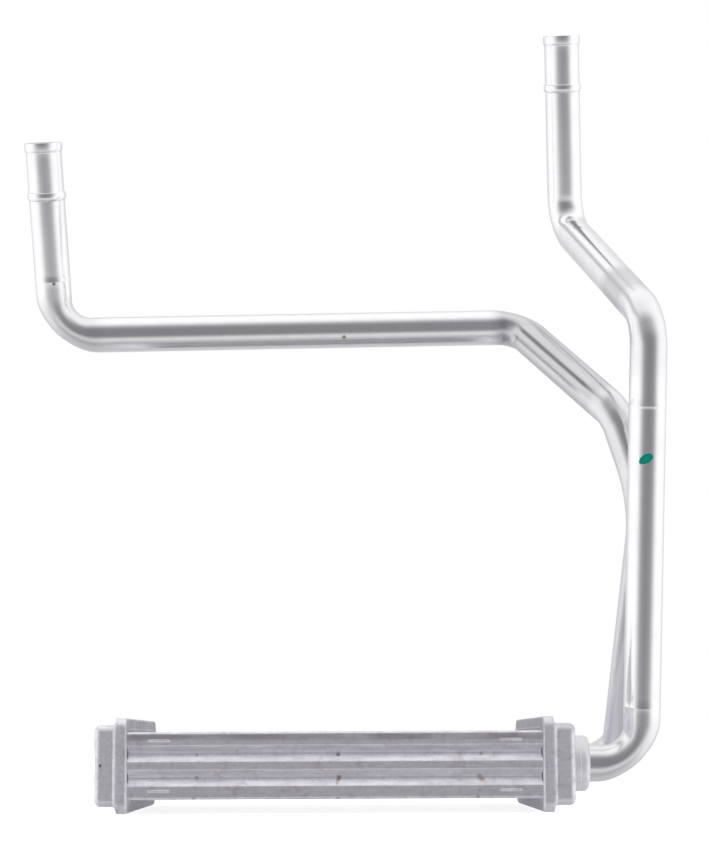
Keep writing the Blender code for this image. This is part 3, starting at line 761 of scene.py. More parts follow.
def brazed_sheet_material(name, colour, rough_at, stains=(), shaded_from=0.0, bands_and_slope_shade=()):
    """Brazed aluminium sheet: matte grey with a lavender cast and blotches of flux.

    The furnace leaves a fine grain and cloudy patches that run along the rolled sheet.
    """
    material, tree, shader, place = start_material(name)
    # Rolling clouds about 4 mm wide and 16 mm long, and streaks 1.3 mm wide and 8 mm long
    clouds = mottle(tree, place, 4, 4.0, 0.6, (0.25, 1.0, 1.0))
    streaks = mottle(tree, place, 1.3, 3.0, 0.65, (0.16, 1.0, 1.0))
    blotches = mottle(tree, place, 2.2, 3.0, 0.6)
    grain = mottle(tree, place, 0.5, 2.0)
    tone = layered(
        tree, (clouds, 0.35, 0.65, 0.30), (blotches, 0.45, 0.75, 0.20), (streaks, 0.35, 0.65, 0.16)
    )
    # Brown tinge where the flux burnt, and pale flecks where it lies thick
    burnt = layered(tree, (mottle(tree, place, 7, 3.0, 0.7), 0.54, 0.70, 0.40))
    flux = layered(tree, (mottle(tree, place, 3.1, 2.0, 0.7), 0.66, 0.74, 0.35))
    base = coated(tree, tuple(colour), (tone, "#BBB8C3"), (burnt, "#B7A9AE"), (flux, "#E6E4E6"))
    sockets = (clouds, 0.3, 0.7, rough_at - 0.05, rough_at + 0.07)
    rough = add_node(tree, "ShaderNodeMapRange", sockets)
    # The flux film scatters light, so the sheet is only partly a mirror
    film = add_node(tree, "ShaderNodeMapRange", (clouds, 0.3, 0.7, 0.82, 0.70))
    base, rough = stained(tree, wandering(tree, place, 1.0, 1.0), base, rough, stains, 0.2)
    parts = add_node(tree, "ShaderNodeSeparateXYZ", (place,)).outputs
    if bands_and_slope_shade:
        # Darker bands that run along the plate at some heights, in patches 30 mm long; on the
        # grooves' upper slopes they are painted shade
        patchy = mottle(tree, place, 3, 3.0, 0.6, (0.1, 1.0, 1.0))
        patchy = add_node(tree, "ShaderNodeMapRange", (patchy, 0.35, 0.6, 0.3, 1.0))
        for height, reach, strength in bands_and_slope_shade:
            mask = band(tree, parts["Z"], MID_HEIGHT + height, 0.4 * reach, reach, strength)
            mask = add_node(tree, "ShaderNodeMath", (mask, patchy), operation="MULTIPLY")
            base = coated(tree, base, (mask, "#9D989E"))
    if shaded_from:
        # Painted shade on the face towards the fins, which they and the tube ends shade, darkest
        # at the top; kept light towards the bottom as painted light against the shadow that falls
        # there
        painted_shade = band(tree, parts["X"], MIDDLE.x, shaded_from, shaded_from + SHADE_FADE)
        runs = mottle(tree, place, 9, 3.0, 0.6, (1.0, 1.0, 0.12))
        sockets = (parts["Z"], MID_HEIGHT - SHADE_REACH, MID_HEIGHT + SHADE_REACH, -0.05, 0.75)
        shade_by_height = add_node(tree, "ShaderNodeMapRange", sockets)
        runs = layered(tree, (runs, 0.35, 0.65, 0.25))
        shade_by_height = add_node(tree, "ShaderNodeMath", (shade_by_height, runs), operation="ADD")
        grey = coated(tree, "#F6F5FA", (shade_by_height, "#A9A8AC"))
        base = coated(tree, base, (painted_shade, grey))
        matte = add_node(tree, "ShaderNodeMath", (painted_shade, 0.8), operation="MULTIPLY")
        rough = add_node(tree, "ShaderNodeMath", (rough, matte), operation="MAXIMUM")
        bare = add_node(tree, "ShaderNodeMath", (painted_shade, -0.75, 1.0), operation="MULTIPLY_ADD")
        film = add_node(tree, "ShaderNodeMath", (film, bare), operation="MULTIPLY")
    set_sockets(tree, shader, {
        "Base Color": base, "Roughness": rough, "Metallic": film,
        "Normal": relief(tree, (clouds, 0.05), (grain, 0.02)),
    })
    return material


def turned_collar_material():
    """Turned aluminium under brazing flux: pale and chalky, with faint turning rings."""
    material, tree, shader, place = start_material("turned aluminium with flux")
    # Turning rings: 0.4 mm apart along the collar's axis
    rings = mottle(tree, place, 0.4, 1.0, stretch=(1.0, 0.02, 0.02))
    powder = mottle(tree, place, 1.6, 4.0, 0.65)
    tone = layered(tree, (powder, 0.35, 0.7, 0.6))
    set_sockets(tree, shader, {
        "Base Color": coated(tree, tuple(bpy.context.scene.metal_finish.boss), (tone, "#E4E4E9")),
        "Roughness": add_node(tree, "ShaderNodeMapRange", (powder, 0.3, 0.7, 0.34, 0.46)),
        "Metallic": 0.45,
        "Normal": relief(tree, (rings, 0.01), (powder, 0.03)),
    })
    return material


def fin_foil_material():
    """Clad aluminium foil: thin, pale and slightly dull from the furnace."""
    material, tree, shader, place = start_material("aluminium fin foil")
    clouds = mottle(tree, place, 12, 3.0, 0.6)
    grain = mottle(tree, place, 0.8, 2.0)
    tone = layered(tree, (clouds, 0.35, 0.65, 0.6))
    set_sockets(tree, shader, {
        "Base Color": coated(tree, "#F6F6F8", (tone, "#E6E6EA")),
        "Roughness": add_node(tree, "ShaderNodeMapRange", (grain, 0.3, 0.7, 0.32, 0.45)),
        "Metallic": 0.4,
        "Normal": relief(tree, (grain, 0.02)),
    })
    return material


def paper_material():
    """White paper sweep that stays white to the camera and keeps the object's shadow."""
    material, tree, shader, place = start_material("white studio paper")
    fibre = mottle(tree, place, 6, 3.0)
    set_sockets(tree, shader, {
        "Base Color": coated(tree, "#F6F6F6", (fibre, "#FAFAFA")),
        "Roughness": 0.9,
        "Specular IOR Level": 0.1,
    })
    rays = add_node(tree, "ShaderNodeLightPath").outputs
    seen = (rays["Is Camera Ray"], rays["Is Transmission Ray"])
    seen = add_node(tree, "ShaderNodeMath", seen, operation="MAXIMUM")
    glow = add_node(tree, "ShaderNodeEmission", {"Color": "#FFFFFF", "Strength": PAPER_GLOW})
    lit = add_node(tree, "ShaderNodeAddShader", (shader, glow))
    paper = add_node(tree, "ShaderNodeMixShader", (seen, shader, lit))
    # Metal mirrors the tent below the horizon, not the lit paper
    clear = add_node(tree, "ShaderNodeBsdfTransparent")
    final = add_node(tree, "ShaderNodeMixShader", (rays["Is Glossy Ray"], paper, clear))
    set_sockets(tree, tree.nodes["Material Output"], {"Surface": final})
    return material


# Pipes


def bend_rings(before, corner, after, radius, steps_per_quarter):
    """Centre, direction, inward direction and squeeze of each ring round a bend."""
    incoming = (corner - before).normalized()
    outgoing = (after - corner).normalized()
    angle = incoming.angle(outgoing)
    reach = radius * math.tan(angle / 2)
    inward = (outgoing - incoming).normalized()
    centre = corner + inward * (radius / math.cos(angle / 2))
    spoke = (corner - incoming * reach - centre).normalized()
    steps = max(FEWEST_BEND_STEPS, math.ceil(steps_per_quarter * angle / (math.pi / 2)))
    strength = min(1.0, angle / FULL_SQUEEZE) * min(1.0, BEND_RADIUS / radius)
    rings = []
    for step in range(steps + 1):
        share = step / steps
        turn = angle * share
        outward = math.cos(turn) * spoke + math.sin(turn) * incoming
        along = math.cos(turn) * incoming - math.sin(turn) * spoke
        eased = min(1.0, BEND_EASE * min(share, 1 - share))
        squeeze = strength * eased * eased * (3 - 2 * eased)
        rings.append((centre + radius * outward, along, outward, squeeze))
    return rings


def hose_end_profile(sizes):
    """Rings of the hose end as (distance from the tip, rise above the pipe)."""
    profile = [(along * sizes.rim_length, up * sizes.rim_rise) for along, up in RIM_SHAPE]
    for step in range(BEAD_STEPS + 1):
        angle = math.pi * step / BEAD_STEPS
        distance = sizes.bead_from_tip - sizes.bead_length / 2 * math.cos(angle)
        profile.append((distance, sizes.bead_rise * math.sin(angle) ** SOFT_FOOT))
    return profile


def filled(rings, seams):
    """Rings no more than a gap apart, with the rises of the seams put in at their places."""
    result = [rings[0]]
    travelled = -INSERTION
    for before, after in zip(rings, rings[1:]):
        step = (after[0] - before[0]).length
        count = max(1, math.ceil(step / RING_GAP))
        places = [(travelled + step * part / count, 0.0) for part in range(1, count)]
        places = [
            plain for plain in places if all(abs(plain[0] - seam[0]) > MM for seam in seams)
        ]
        places += [seam for seam in seams if travelled < seam[0] < travelled + step]
        for distance, rise in sorted(places):
            share = (distance - travelled) / step
            place = before[0].lerp(after[0], share)
            along = before[1].lerp(after[1], share).normalized()
            inward = before[2].lerp(after[2], share).normalized()
            squeeze = before[3] + (after[3] - before[3]) * share
            result.append((place, along, inward, squeeze, rise))
        result.append(after)
        travelled += step
    return result


def pipe_route(start, legs, sizes, seam_places):
    """Rings from inside the tank to the open end: centre, direction, inward, squeeze and rise."""
    corners = [start]
    for leg, _ in legs:
        corners.append(corners[-1] + Vector(leg))
    corners[0] = start - Vector((INSERTION, 0.0, 0.0))
    first = (corners[1] - corners[0]).normalized()
    rings = [(corners[0], first, Vector((0.0, 0.0, 1.0)), 0.0, 0.0)]
    for index, (_, radius) in enumerate(legs[:-1], start=1):
        bend = bend_rings(*corners[index - 1:index + 2], radius, sizes.bend_steps)
        rings += [(*ring, 0.0) for ring in bend]
    tip = corners[-1]
    along = (tip - corners[-2]).normalized()
    side = rings[-1][2]
    for distance, rise in sorted(hose_end_profile(sizes), reverse=True):
        rings.append((tip - along * distance, along, side, 0.0, rise))
    seams = [
        (place + offset * MM, share * rise * MM)
        for place, share in seam_places for offset, rise in SEAM_SHAPE
    ]
    return filled(rings, seams)


def pipe_mesh(name, rings, sizes):
    """Hollow bent pipe with a UV map that holds metres round and metres along from the tip."""
    tip = rings[-1][0]
    bm = bmesh.new()
    layer = bm.loops.layers.uv.new("run")
    across = rings[0][2].copy()
    shells = ([], [])
    for place, along, inward, squeeze, rise in rings:
        across = (across - across.dot(along) * along).normalized()
        third = along.cross(across)
        upright = along.cross(inward)
        front = (along.y * along - Vector((0.0, 1.0, 0.0))).normalized()
        nearness = max(0.0, 1 - (tip - place).length / TIP_REACH)
        for shell, radius in zip(shells, (PIPE_RADIUS + rise, PIPE_RADIUS - PIPE_WALL + rise)):
            ring = []
            for index in range(sizes.sides):
                angle = 2 * math.pi * index / sizes.sides
                spoke = radius * (math.cos(angle) * across + math.sin(angle) * third)
                flat = BEND_FLATTEN * squeeze * spoke.dot(inward)
                bulge = BEND_BULGE * squeeze * spoke.dot(upright)
                lift = nearness * TIP_SLANT * spoke.dot(front)
                point = place + spoke - flat * inward + bulge * upright + lift * along
                ring.append(bm.verts.new(point))
            shell.append(ring)
    distances = [0.0]
    for before, after in zip(rings, rings[1:]):
        distances.append(distances[-1] + (after[0] - before[0]).length)
    total = distances[-1]
    width = 2 * math.pi * PIPE_RADIUS / sizes.sides
    for shell, inside in zip(shells, (False, True)):
        for index, (lower, upper) in enumerate(zip(shell, shell[1:])):
            levels = (total - distances[index], total - distances[index + 1])
            add_wall(bm, layer, lower, upper, width, levels, inside)
    ends = ((shells[1][0], shells[0][0], total), (shells[0][-1], shells[1][-1], 0.0))
    for lower, upper, level in ends:
        add_wall(bm, layer, lower, upper, width, (level, level), False)
    mesh = mesh_from(bm, name)
    smooth_by_angle(mesh, 50)
    return mesh


def add_wall(bm, layer, lower, upper, width, levels, flip):
    """Quads between two rings of a pipe, with their UVs."""
    count = len(lower)
    for index in range(count):
        after = (index + 1) % count
        corners = (
            (lower[index], index, levels[0]),
            (lower[after], index + 1, levels[0]),
            (upper[after], index + 1, levels[1]),
            (upper[index], index, levels[1]),
        )
        if flip:
            corners = corners[::-1]
        face = bm.faces.new([corner[0] for corner in corners])
        for loop, (_, turn, level) in zip(face.loops, corners):
            loop[layer].uv = (turn * width, level)


# Operators


class HEATERCORE_OT_side_plates(bpy.types.Operator):
    """Add both pressed side plates with their grooves and raised bars"""

    bl_idname = "heater_core.side_plates"
    bl_label = "Side Plates"

    def section(self, half):
        """Points (depth behind the web, height from the middle) down the plate's outside."""
        corners = [(PLATE_FLANGE, half, 0.0), (0.0, half, PLATE_EDGE)]
        for centre in (GROOVE_OFFSET, -GROOVE_OFFSET):
            corners += [
                (0.0, centre + GROOVE_WIDTH / 2, GROOVE_EDGE),
                (GROOVE_DEPTH, centre + GROOVE_FLOOR / 2, GROOVE_FLOOR_EDGE),
                (GROOVE_DEPTH, centre - GROOVE_FLOOR / 2, GROOVE_FLOOR_EDGE),
                (0.0, centre - GROOVE_WIDTH / 2, GROOVE_EDGE),
            ]
        corners += [(0.0, -half, PLATE_EDGE), (PLATE_FLANGE, -half, 0.0)]
        rounded = [Vector(corners[0][:2])]
        for before, corner, after in zip(corners, corners[1:], corners[2:]):
            rounded += fillet(Vector(before[:2]), Vector(corner[:2]), Vector(after[:2]), corner[2])
        rounded.append(Vector(corners[-1][:2]))
        points = [rounded[0]]
        for point in rounded[1:]:
            pieces = max(1, math.ceil((point - points[-1]).length / SECTION_STEP))
            start = points[-1]
            points += [start.lerp(point, share / pieces) for share in range(1, pieces + 1)]
        return points

    def surface(self):
        """Outer surface of the front plate about the core's middle."""
        half = (PLATE_HIGH.z - PLATE_LOW.z) / 2
        length = (PLATE_HIGH.x - PLATE_LOW.x) / 2
        web = MIDDLE.y - PLATE_LOW.y - BAR_RISE
        section = self.section(half)
        reach = length + PLATE_BRAZE
        stations = [-reach + 2 * reach * step / PLATE_STEPS for step in range(PLATE_STEPS + 1)]
        bars = [sign * (length - BAR_FROM_END) for sign in (-1, 1)]
        for bar in bars:
            stations += [bar + BAR_STEP * step for step in range(-BAR_STEPS, BAR_STEPS + 1)]
        bm = bmesh.new()
        rows = []
        for x in sorted(stations):
            row = []
            for depth, height in section:
                rise = 0.0
                for bar in bars:
                    for level in (half - BAR_FROM_EDGE, BAR_FROM_EDGE - half):
                        rise += bar_rise(x - bar, height - level)
                wave = WAVE_HEIGHT * math.sin(x / WAVE_LENGTH + WAVE_SHIFT * height)
                notched = abs(abs(height) - GROOVE_OFFSET) < NOTCH_HEIGHT / 2
                end = length - NOTCH_GAP if notched else reach
                held = max(-end, min(end, x))
                row.append(bm.verts.new((held, depth - rise + wave - web, height + MID_HEIGHT)))
            rows.append(row)
        for left, right in zip(rows, rows[1:]):
            for index in range(len(section) - 1):
                bm.faces.new((left[index], left[index + 1], right[index + 1], right[index]))
        return mesh_from(bm, "side_plate")

    def execute(self, context):
        """Build the front plate, then its mirror image for the back."""
        front = applied("front_side_plate", self.surface(), sheet_metal(PLATE_SHEET))
        smooth_by_angle(front, 40)
        back = mirrored(front, 1)
        colour = context.scene.metal_finish.sheet
        # The front plate's material carries painted shade on the upper slopes of its grooves
        marked = brazed_sheet_material(
            "brazed aluminium side plate", colour, 0.33, PLATE_STAINS, bands_and_slope_shade=PLATE_BANDS_AND_SLOPE_SHADE
        )
        plain = brazed_sheet_material("brazed aluminium sheet", colour, 0.33)
        for side, mesh, material in (("front", front, marked), ("back", back, plain)):
            mesh.transform(Matrix.Translation(MIDDLE))
            name = side + "_side_plate"
            new_piece(name, mesh, material, "side_plate_" + side)
        return {"FINISHED"}


class HEATERCORE_OT_headers(bpy.types.Operator):
    """Add both pressed header plates with their raised field and rounded edge"""

    bl_idname = "heater_core.headers"
    bl_label = "Header Plates"

    def execute(self, context):
        """Build the right header, then mirror it for the left."""
        half_y = (HEADER_HIGH.y - HEADER_LOW.y) / 2
        half_z = (HEADER_HIGH.z - HEADER_LOW.z) / 2
        pan = HEADER_LOW.x - MIDDLE.x + FIELD_RISE
        rings = [(HEADER_HIGH.x - MIDDLE.x, rounded_rectangle(half_y, half_z, HEADER_CORNER))]
        for inward, outward in quarter_turn(EDGE_STEPS):
            inset = HEADER_EDGE * inward
            outline = rounded_rectangle(half_y - inset, half_z - inset, HEADER_CORNER - inset)
            rings.append((pan + HEADER_EDGE * outward, outline))
        first_low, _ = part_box(TUBES[0])
        _, last_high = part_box(TUBES[-1])
        field_y = (last_high.y - first_low.y) / 2 + FIELD_MARGIN_Y
        field_z = (last_high.z - first_low.z) / 2 + FIELD_MARGIN_Z
        for step in range(FIELD_STEPS + 1):
            share = step / FIELD_STEPS
            eased = share * share * (3 - 2 * share)
            spread = FIELD_SLOPE * (1 - share)
            corner = HEADER_CORNER / 2 + spread
            outline = rounded_rectangle(field_y + spread, field_z + spread, corner)
            rings.append((pan - FIELD_RISE * eased, outline))
        # The face towards the fins gets painted shade, kept lighter towards the bottom
        material = brazed_sheet_material(
            "brazed aluminium header", context.scene.metal_finish.sheet, 0.40,
            shaded_from=pan + SHADE_START,
        )
        turned = [(x, outline[::-1]) for x, outline in rings]
        add_pair("header", turned, HEADER_SHEET, material)
        return {"FINISHED"}


class HEATERCORE_OT_tanks(bpy.types.Operator):
    """Add both drawn end tanks"""

    bl_idname = "heater_core.tanks"
    bl_label = "End Tanks"

    def execute(self, context):
        """Build the right tank, then mirror it for the left."""
        foot_y = (TANK_HIGH.y - TANK_LOW.y) / 2
        foot_z = (TANK_HIGH.z - TANK_LOW.z) / 2
        half_y = foot_y - FOOT_WIDTH
        half_z = foot_z - FOOT_WIDTH
        rim_x = TANK_LOW.x - MIDDLE.x + FOOT_RIM
        face_x = TANK_HIGH.x - MIDDLE.x
        rings = [(rim_x, rounded_rectangle(foot_y, foot_z, TANK_CORNER + FOOT_WIDTH))]
        for outward, inward in quarter_turn(EDGE_STEPS):
            inset = FOOT_FILLET * inward
            outline = rounded_rectangle(half_y + inset, half_z + inset, TANK_CORNER + inset)
            rings.append((rim_x + FOOT_FILLET * outward, outline))
        for inward, outward in quarter_turn(TANK_EDGE_STEPS):
            inset = TANK_EDGE * inward
            outline = rounded_rectangle(half_y - inset, half_z - inset, TANK_CORNER - inset)
            rings.append((face_x - TANK_EDGE * outward, outline))
        colour = context.scene.metal_finish.tank
        material = brazed_sheet_material("drawn aluminium tank", colour, 0.42, TANK_STAINS)
        add_pair("tank", rings, TANK_SHEET, material)
        return {"FINISHED"}


class HEATERCORE_OT_collars(bpy.types.Operator):
    """Add the turned collars that the pipes are brazed into"""

    bl_idname = "heater_core.collars"
    bl_label = "Collars"

    def execute(self, context):
        """Turn one collar's profile and place it twice."""
        outer = (BOSS_HIGH.z - BOSS_LOW.z) / 2
        length = BOSS_HIGH.x - BOSS_LOW.x
        bore = PIPE_RADIUS + BOSS_CLEARANCE
        groove_end = BOSS_FLANGE + BOSS_GROOVE_WIDTH
        profile = [
            (0.0, bore), (0.0, outer - BOSS_CHAMFER), (BOSS_CHAMFER, outer),
            (BOSS_FLANGE - BOSS_CHAMFER, outer), (BOSS_FLANGE, outer - BOSS_GROOVE_EDGE),
            (BOSS_FLANGE + BOSS_GROOVE_WIDTH / 2, outer - BOSS_GROOVE_DEPTH),
            (groove_end, outer - BOSS_GROOVE_EDGE), (groove_end + BOSS_CHAMFER, outer),
        ]
        for inward, outward in quarter_turn(BOSS_SHOULDER_STEPS):
            x = length - BOSS_SHOULDER_LENGTH * outward
            profile.append((x, outer - BOSS_SHOULDER_DROP * inward))
        profile += [(length - depth * MM, bore + reach * MM) for depth, reach in BOSS_BRAZE]
        material = turned_collar_material()
        angles = [2 * math.pi * step / BOSS_SIDES for step in range(BOSS_SIDES)]
        spokes = [Vector((0.0, math.cos(angle), math.sin(angle))) for angle in angles]
        for letter, centre_y in PIPE_CENTRES.items():
            centre = Vector((BOSS_LOW.x, centre_y, MID_HEIGHT))
            bm = bmesh.new()
            loops = []
            for x, radius in profile:
                hub = centre + Vector((x, 0.0, 0.0))
                loops.append([bm.verts.new(hub + spoke * radius) for spoke in spokes])
            for lower, upper in zip(loops, loops[1:] + loops[:1]):
                join_loops(bm, lower, upper)
            bmesh.ops.recalc_face_normals(bm, faces=bm.faces)
            mesh = mesh_from(bm, "collar_" + letter)
            smooth_by_angle(mesh, 30)
            new_piece("collar_" + letter, mesh, material, "boss_" + letter)
        return {"FINISHED"}


class HEATERCORE_OT_pipes(bpy.types.Operator):
    """Add both bent pipes with their hose ends, die ridges and marks"""

    bl_idname = "heater_core.pipes"
    bl_label = "Pipes"

    def execute(self, context):
        """Sweep each pipe along its legs."""
        sizes = context.scene.pipe_sizes
        for letter, legs, seams, stains, paint, marks_and_painted_light in (
            ("a", PIPE_A_LEGS, SEAMS_A, STAINS_A, PAINT_A, TOOL_MARKS_AND_PAINTED_SHADE_A),
            ("b", PIPE_B_LEGS, SEAMS_B, STAINS_B, (), TOOL_MARKS_AND_PAINTED_LIGHT_B),
        ):
            name = "pipe_tube_" + letter
            start = Vector((TANK_HIGH.x, PIPE_CENTRES[letter], MID_HEIGHT))
            mesh = pipe_mesh(name, pipe_route(start, legs, sizes, seams), sizes)
            material = drawn_pipe_material(letter, stains, paint, marks_and_painted_light)
            new_piece(name, mesh, material, "pipe_" + letter)
        return {"FINISHED"}


class HEATERCORE_OT_fins(bpy.types.Operator):
    """Add the folded, louvred fin strips between the flat tubes"""

    bl_idname = "heater_core.fins"
    bl_label = "Fin Strips"

    def fin_tree(self, material):
        """Node group: a zigzag foil with rounded crests, and rows of louvres in its legs."""
        tree = bpy.data.node_groups.new("louvred fin strip", "GeometryNodeTree")
        face = tree.interface
        for name, kind in FIN_INPUTS.items():
            face.new_socket(name, in_out="INPUT", socket_type="NodeSocket" + kind)
        face.new_socket("Geometry", in_out="OUTPUT", socket_type="NodeSocketGeometry")
        given = add_node(tree, "NodeGroupInput").outputs
        known = {name: given[name] for name in FIN_INPUTS}
        known["Index"] = add_node(tree, "GeometryNodeInputIndex")
        for name, operation, *operands in FIN_VALUES:
            operands = [known.get(operand, operand) for operand in operands]
            known[name] = add_node(tree, "ShaderNodeMath", operands, operation=operation)
        for name, axes in FIN_VECTORS.items():
            sockets = {axis: known[value] for axis, value in axes.items()}
            known[name] = add_node(tree, "ShaderNodeCombineXYZ", sockets)
        for name, count, start, step in FIN_ROWS:
            sockets = {
                "Count": known[count], "Start Location": known[start], "Offset": known[step],
            }
            known[name] = add_node(
                tree, "GeometryNodeMeshLine", sockets, mode="OFFSET", count_mode="TOTAL"
            )
        # The foil zigzags between the tubes, one leg to a fold
        sockets = {"Geometry": known["crest row"], "Offset": known["crest offset"]}
        zigzag = add_node(tree, "GeometryNodeSetPosition", sockets)
        path = add_node(tree, "GeometryNodeMeshToCurve", {"Mesh": zigzag})
        path = add_node(tree, "GeometryNodeFilletCurve", {
            "Curve": path, "Radius": given["Fold radius"], "Count": CREST_POINTS,
            "Limit Radius": True,
        }, mode="POLY")
        path = add_node(tree, "GeometryNodeSetCurveNormal", {"Curve": path}, mode="Z_UP")
        sockets = {"Width": given["Foil"], "Height": given["Depth"]}
        section = add_node(tree, "GeometryNodeCurvePrimitiveQuadrilateral", sockets)
        sockets = {"Curve": path, "Profile Curve": section, "Fill Caps": True}
        strip = add_node(tree, "GeometryNodeCurveToMesh", sockets)
        # A row of louvres stands in each leg, turned to the leg's own slant
        louvres = add_node(tree, "GeometryNodeMeshCube", {"Size": known["louvre size"]})
        for row, turn in (("louvre row", "louvre turn"), ("leg row", "leg turn")):
            sockets = {"Points": known[row], "Instance": louvres, "Rotation": known[turn]}
            louvres = add_node(tree, "GeometryNodeInstanceOnPoints", sockets)
        both = add_node(tree, "GeometryNodeJoinGeometry", (strip,))
        set_sockets(tree, both, (louvres,))
        real = add_node(tree, "GeometryNodeRealizeInstances", {"Geometry": both})
        sockets = {"Geometry": real, "Material": material}
        dressed = add_node(tree, "GeometryNodeSetMaterial", sockets)
        add_node(tree, "NodeGroupOutput", {"Geometry": dressed})
        return tree

    def execute(self, context):
        """Evaluate the node group once and set a copy between each pair of tubes."""
        sizes = context.scene.core_sizes
        material = fin_foil_material()
        tree = self.fin_tree(material)
        length = FIN_HIGH.x - FIN_LOW.x
        folds = 2 * round(length / sizes.fold_pitch / 2)
        values = {
            "Length": length - sizes.foil,
            "Height": FIN_HIGH.y - FIN_LOW.y,
            "Depth": FIN_HIGH.z - FIN_LOW.z,
            "Folds": folds,
            "Foil": sizes.foil,
            "Fold radius": sizes.fold_radius,
            "Louvres": sizes.louvres,
            "Louvre tilt": sizes.louvre_tilt,
        }
        strip = linked("strip", bpy.data.meshes.new("strip"))
        modifier = strip.modifiers.new("fin", "NODES")
        modifier.node_group = tree
        for item in tree.interface.items_tree:
            if item.in_out == "INPUT":
                modifier[item.identifier] = values[item.name]
        graph = context.evaluated_depsgraph_get()
        mesh = bpy.data.meshes.new_from_object(strip.evaluated_get(graph))
        strip.modifiers.clear()
        bpy.data.objects.remove(strip)
        if len(mesh.polygons) < folds:
            raise RuntimeError("the fin strip's node group gave no folds")
        for name in FIN_STRIPS:
            low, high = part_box(name)
            copy = mesh.copy()
            copy.transform(Matrix.Translation((low + high) / 2))
            new_piece("folded_" + name, copy, material, name)
        return {"FINISHED"}


class HEATERCORE_OT_tubes(bpy.types.Operator):
    """Give the flat tubes and the baffle their brazed finish"""

    bl_idname = "heater_core.tubes"
    bl_label = "Flat Tubes"

    def execute(self, context):
        """Set the material of each CAD node that keeps its shape."""
        colour = context.scene.metal_finish.sheet
        material = brazed_sheet_material("brazed aluminium flat tube", colour, 0.40)
        for name in [*TUBES, "tank_baffle"]:
            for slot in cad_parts[name].material_slots:
                slot.material = material
        return {"FINISHED"}


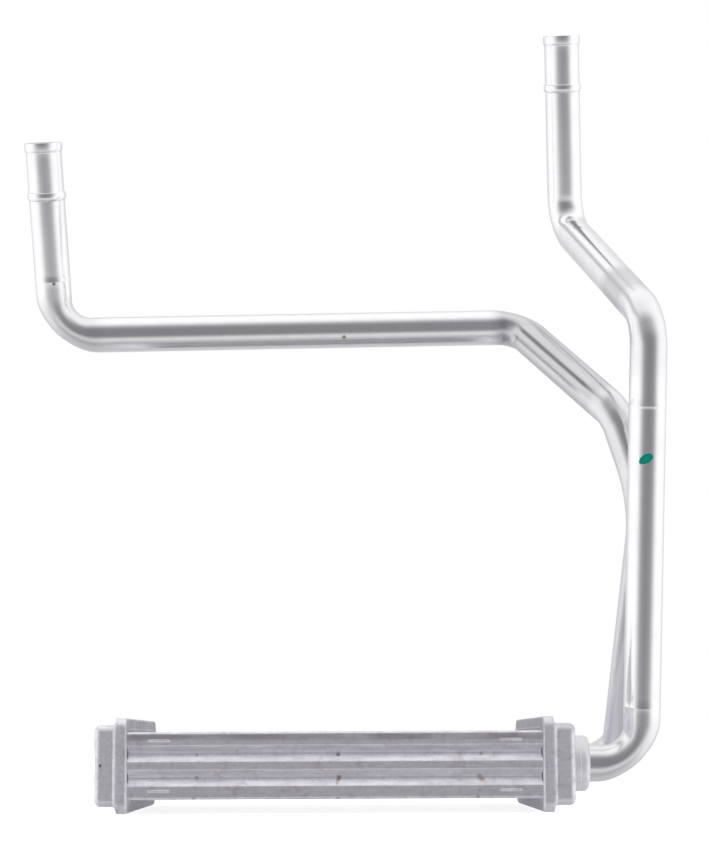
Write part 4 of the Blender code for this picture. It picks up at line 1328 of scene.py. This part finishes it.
class HEATERCORE_OT_studio(bpy.types.Operator):
    """Add the paper floor, the white tent, the lamp and the camera"""

    bl_idname = "heater_core.studio"
    bl_label = "Studio"

    def execute(self, context):
        """Light the object evenly and look at it as the photograph does."""
        settings = context.scene.studio_settings
        self.add_floor()
        self.add_tent(settings)
        lamp_data = bpy.data.lights.new("overhead_softbox", "AREA")
        lamp_data.shape = "RECTANGLE"
        lamp_data.size = LAMP_LENGTH
        lamp_data.size_y = LAMP_WIDTH
        lamp_data.energy = LAMP_POWER
        lamp = linked("overhead_softbox", lamp_data)
        lamp.location = LAMP_PLACE
        # The metal mirrors the tent alone
        lamp.visible_glossy = False
        camera_data = bpy.data.cameras.new("studio_camera")
        camera_data.lens = settings.lens
        camera_data.sensor_width = SENSOR_WIDTH
        camera_data.sensor_fit = "HORIZONTAL"
        camera_data.clip_end = VIEW_LIMIT
        camera = linked("studio_camera", camera_data)
        camera.location = MIDDLE + Vector((CAMERA_ASIDE, -settings.distance, settings.height))
        camera.rotation_euler = Euler(CAMERA_TURN)
        context.scene.camera = camera
        context.scene.view_settings.view_transform = "Standard"
        return {"FINISHED"}

    def add_floor(self):
        """Wide sheet of paper just under the object."""
        bm = bmesh.new()
        bmesh.ops.create_grid(bm, x_segments=8, y_segments=8, size=FLOOR_REACH)
        bmesh.ops.translate(bm, verts=bm.verts, vec=(0.0, 0.0, -FLOOR_DROP))
        floor = linked("paper_floor", mesh_from(bm, "paper_floor"))
        floor.data.materials.append(paper_material())

    def add_tent(self, settings):
        """White world with a darker, soft-edged patch on the camera's side."""
        world = bpy.data.worlds.new("white_tent")
        bpy.context.scene.world = world
        world.use_nodes = True
        tree = world.node_tree
        way = add_node(tree, "ShaderNodeTexCoord").outputs["Generated"]
        parts = add_node(tree, "ShaderNodeSeparateXYZ", (way,)).outputs
        ahead = add_node(tree, "ShaderNodeMath", (parts["Y"], -1.0), operation="MULTIPLY")
        pitch = add_node(tree, "ShaderNodeMath", (parts["Z"], ahead), operation="ARCTAN2")
        pitch = add_node(tree, "ShaderNodeMath", (pitch,), operation="DEGREES")
        pitch = add_node(tree, "ShaderNodeMapRange", (pitch, -180.0, 180.0))
        side = add_node(tree, "ShaderNodeMath", (parts["X"],), operation="ABSOLUTE")
        patch = 1.0
        for value, stops in ((pitch, ROOM_BY_PITCH), (side, ROOM_BY_SIDE)):
            curve = add_node(tree, "ShaderNodeValToRGB", (value,))
            elements = curve.color_ramp.elements
            while len(elements) < len(stops):
                elements.new(0.5)
            for element, (position, level) in zip(elements, stops):
                element.position = position
                element.color = (level, level, level, 1.0)
            patch = add_node(tree, "ShaderNodeMath", (patch, curve), operation="MULTIPLY")
        seam = band(tree, parts["Z"], SEAM_HEIGHT, SEAM_WIDTH / 3, SEAM_WIDTH, SEAM_STRENGTH)
        left = add_node(tree, "ShaderNodeMapRange", (parts["X"], SEAM_START, SEAM_END, 1.0, 0.0))
        seam = add_node(tree, "ShaderNodeMath", (seam, left), operation="MULTIPLY")
        patch = add_node(tree, "ShaderNodeMath", (patch, seam), operation="MAXIMUM")
        sockets = (patch, 0.0, 1.0, settings.sky, settings.camera_side)
        level = add_node(tree, "ShaderNodeMapRange", sockets)
        tint = coated(tree, "#FFFFFF", (patch, "#FBF9FF"))
        light = add_node(tree, "ShaderNodeBackground", {"Color": tint, "Strength": level})
        white = add_node(tree, "ShaderNodeBackground", {"Color": "#FFFFFF", "Strength": 1.0})
        seen = add_node(tree, "ShaderNodeLightPath").outputs["Is Camera Ray"]
        choice = add_node(tree, "ShaderNodeMixShader", (seen, light, white))
        set_sockets(tree, tree.nodes["World Output"], {"Surface": choice})


class HEATERCORE_PT_panel(bpy.types.Panel):
    """Sidebar panel with every step of the build"""

    bl_idname = "HEATERCORE_PT_panel"
    bl_label = "Heater Core"
    bl_space_type = "VIEW_3D"
    bl_region_type = "UI"
    bl_category = "Heater Core"

    def draw(self, context):
        """List the steps and the settings."""
        for step in STEPS:
            self.layout.operator(step.bl_idname)
        for group in SETTINGS:
            owner = getattr(context.scene, group)
            box = self.layout.box()
            for key in owner.bl_rna.properties.keys():
                if key not in ("rna_type", "name"):
                    box.prop(owner, key)


STEPS = (
    HEATERCORE_OT_studio,
    HEATERCORE_OT_side_plates,
    HEATERCORE_OT_headers,
    HEATERCORE_OT_tanks,
    HEATERCORE_OT_collars,
    HEATERCORE_OT_pipes,
    HEATERCORE_OT_fins,
    HEATERCORE_OT_tubes,
)
SETTINGS = {
    "core_sizes": CoreSizes,
    "pipe_sizes": PipeSizes,
    "metal_finish": MetalFinish,
    "studio_settings": StudioSettings,
}


def register():
    """Register the settings, the steps and the panel."""
    for name, group in SETTINGS.items():
        bpy.utils.register_class(group)
        setattr(bpy.types.Scene, name, PointerProperty(type=group))
    for step in (*STEPS, HEATERCORE_PT_panel):
        bpy.utils.register_class(step)


def unregister():
    """Undo register."""
    for step in (HEATERCORE_PT_panel, *reversed(STEPS)):
        bpy.utils.unregister_class(step)
    for name, group in SETTINGS.items():
        delattr(bpy.types.Scene, name)
        bpy.utils.unregister_class(group)


def main():
    """Register the steps and run every one."""
    register()
    bpy.ops.heater_core.studio()
    bpy.ops.heater_core.side_plates()
    bpy.ops.heater_core.headers()
    bpy.ops.heater_core.tanks()
    bpy.ops.heater_core.collars()
    bpy.ops.heater_core.pipes()
    bpy.ops.heater_core.fins()
    bpy.ops.heater_core.tubes()


if __name__ == "__main__":
    main()
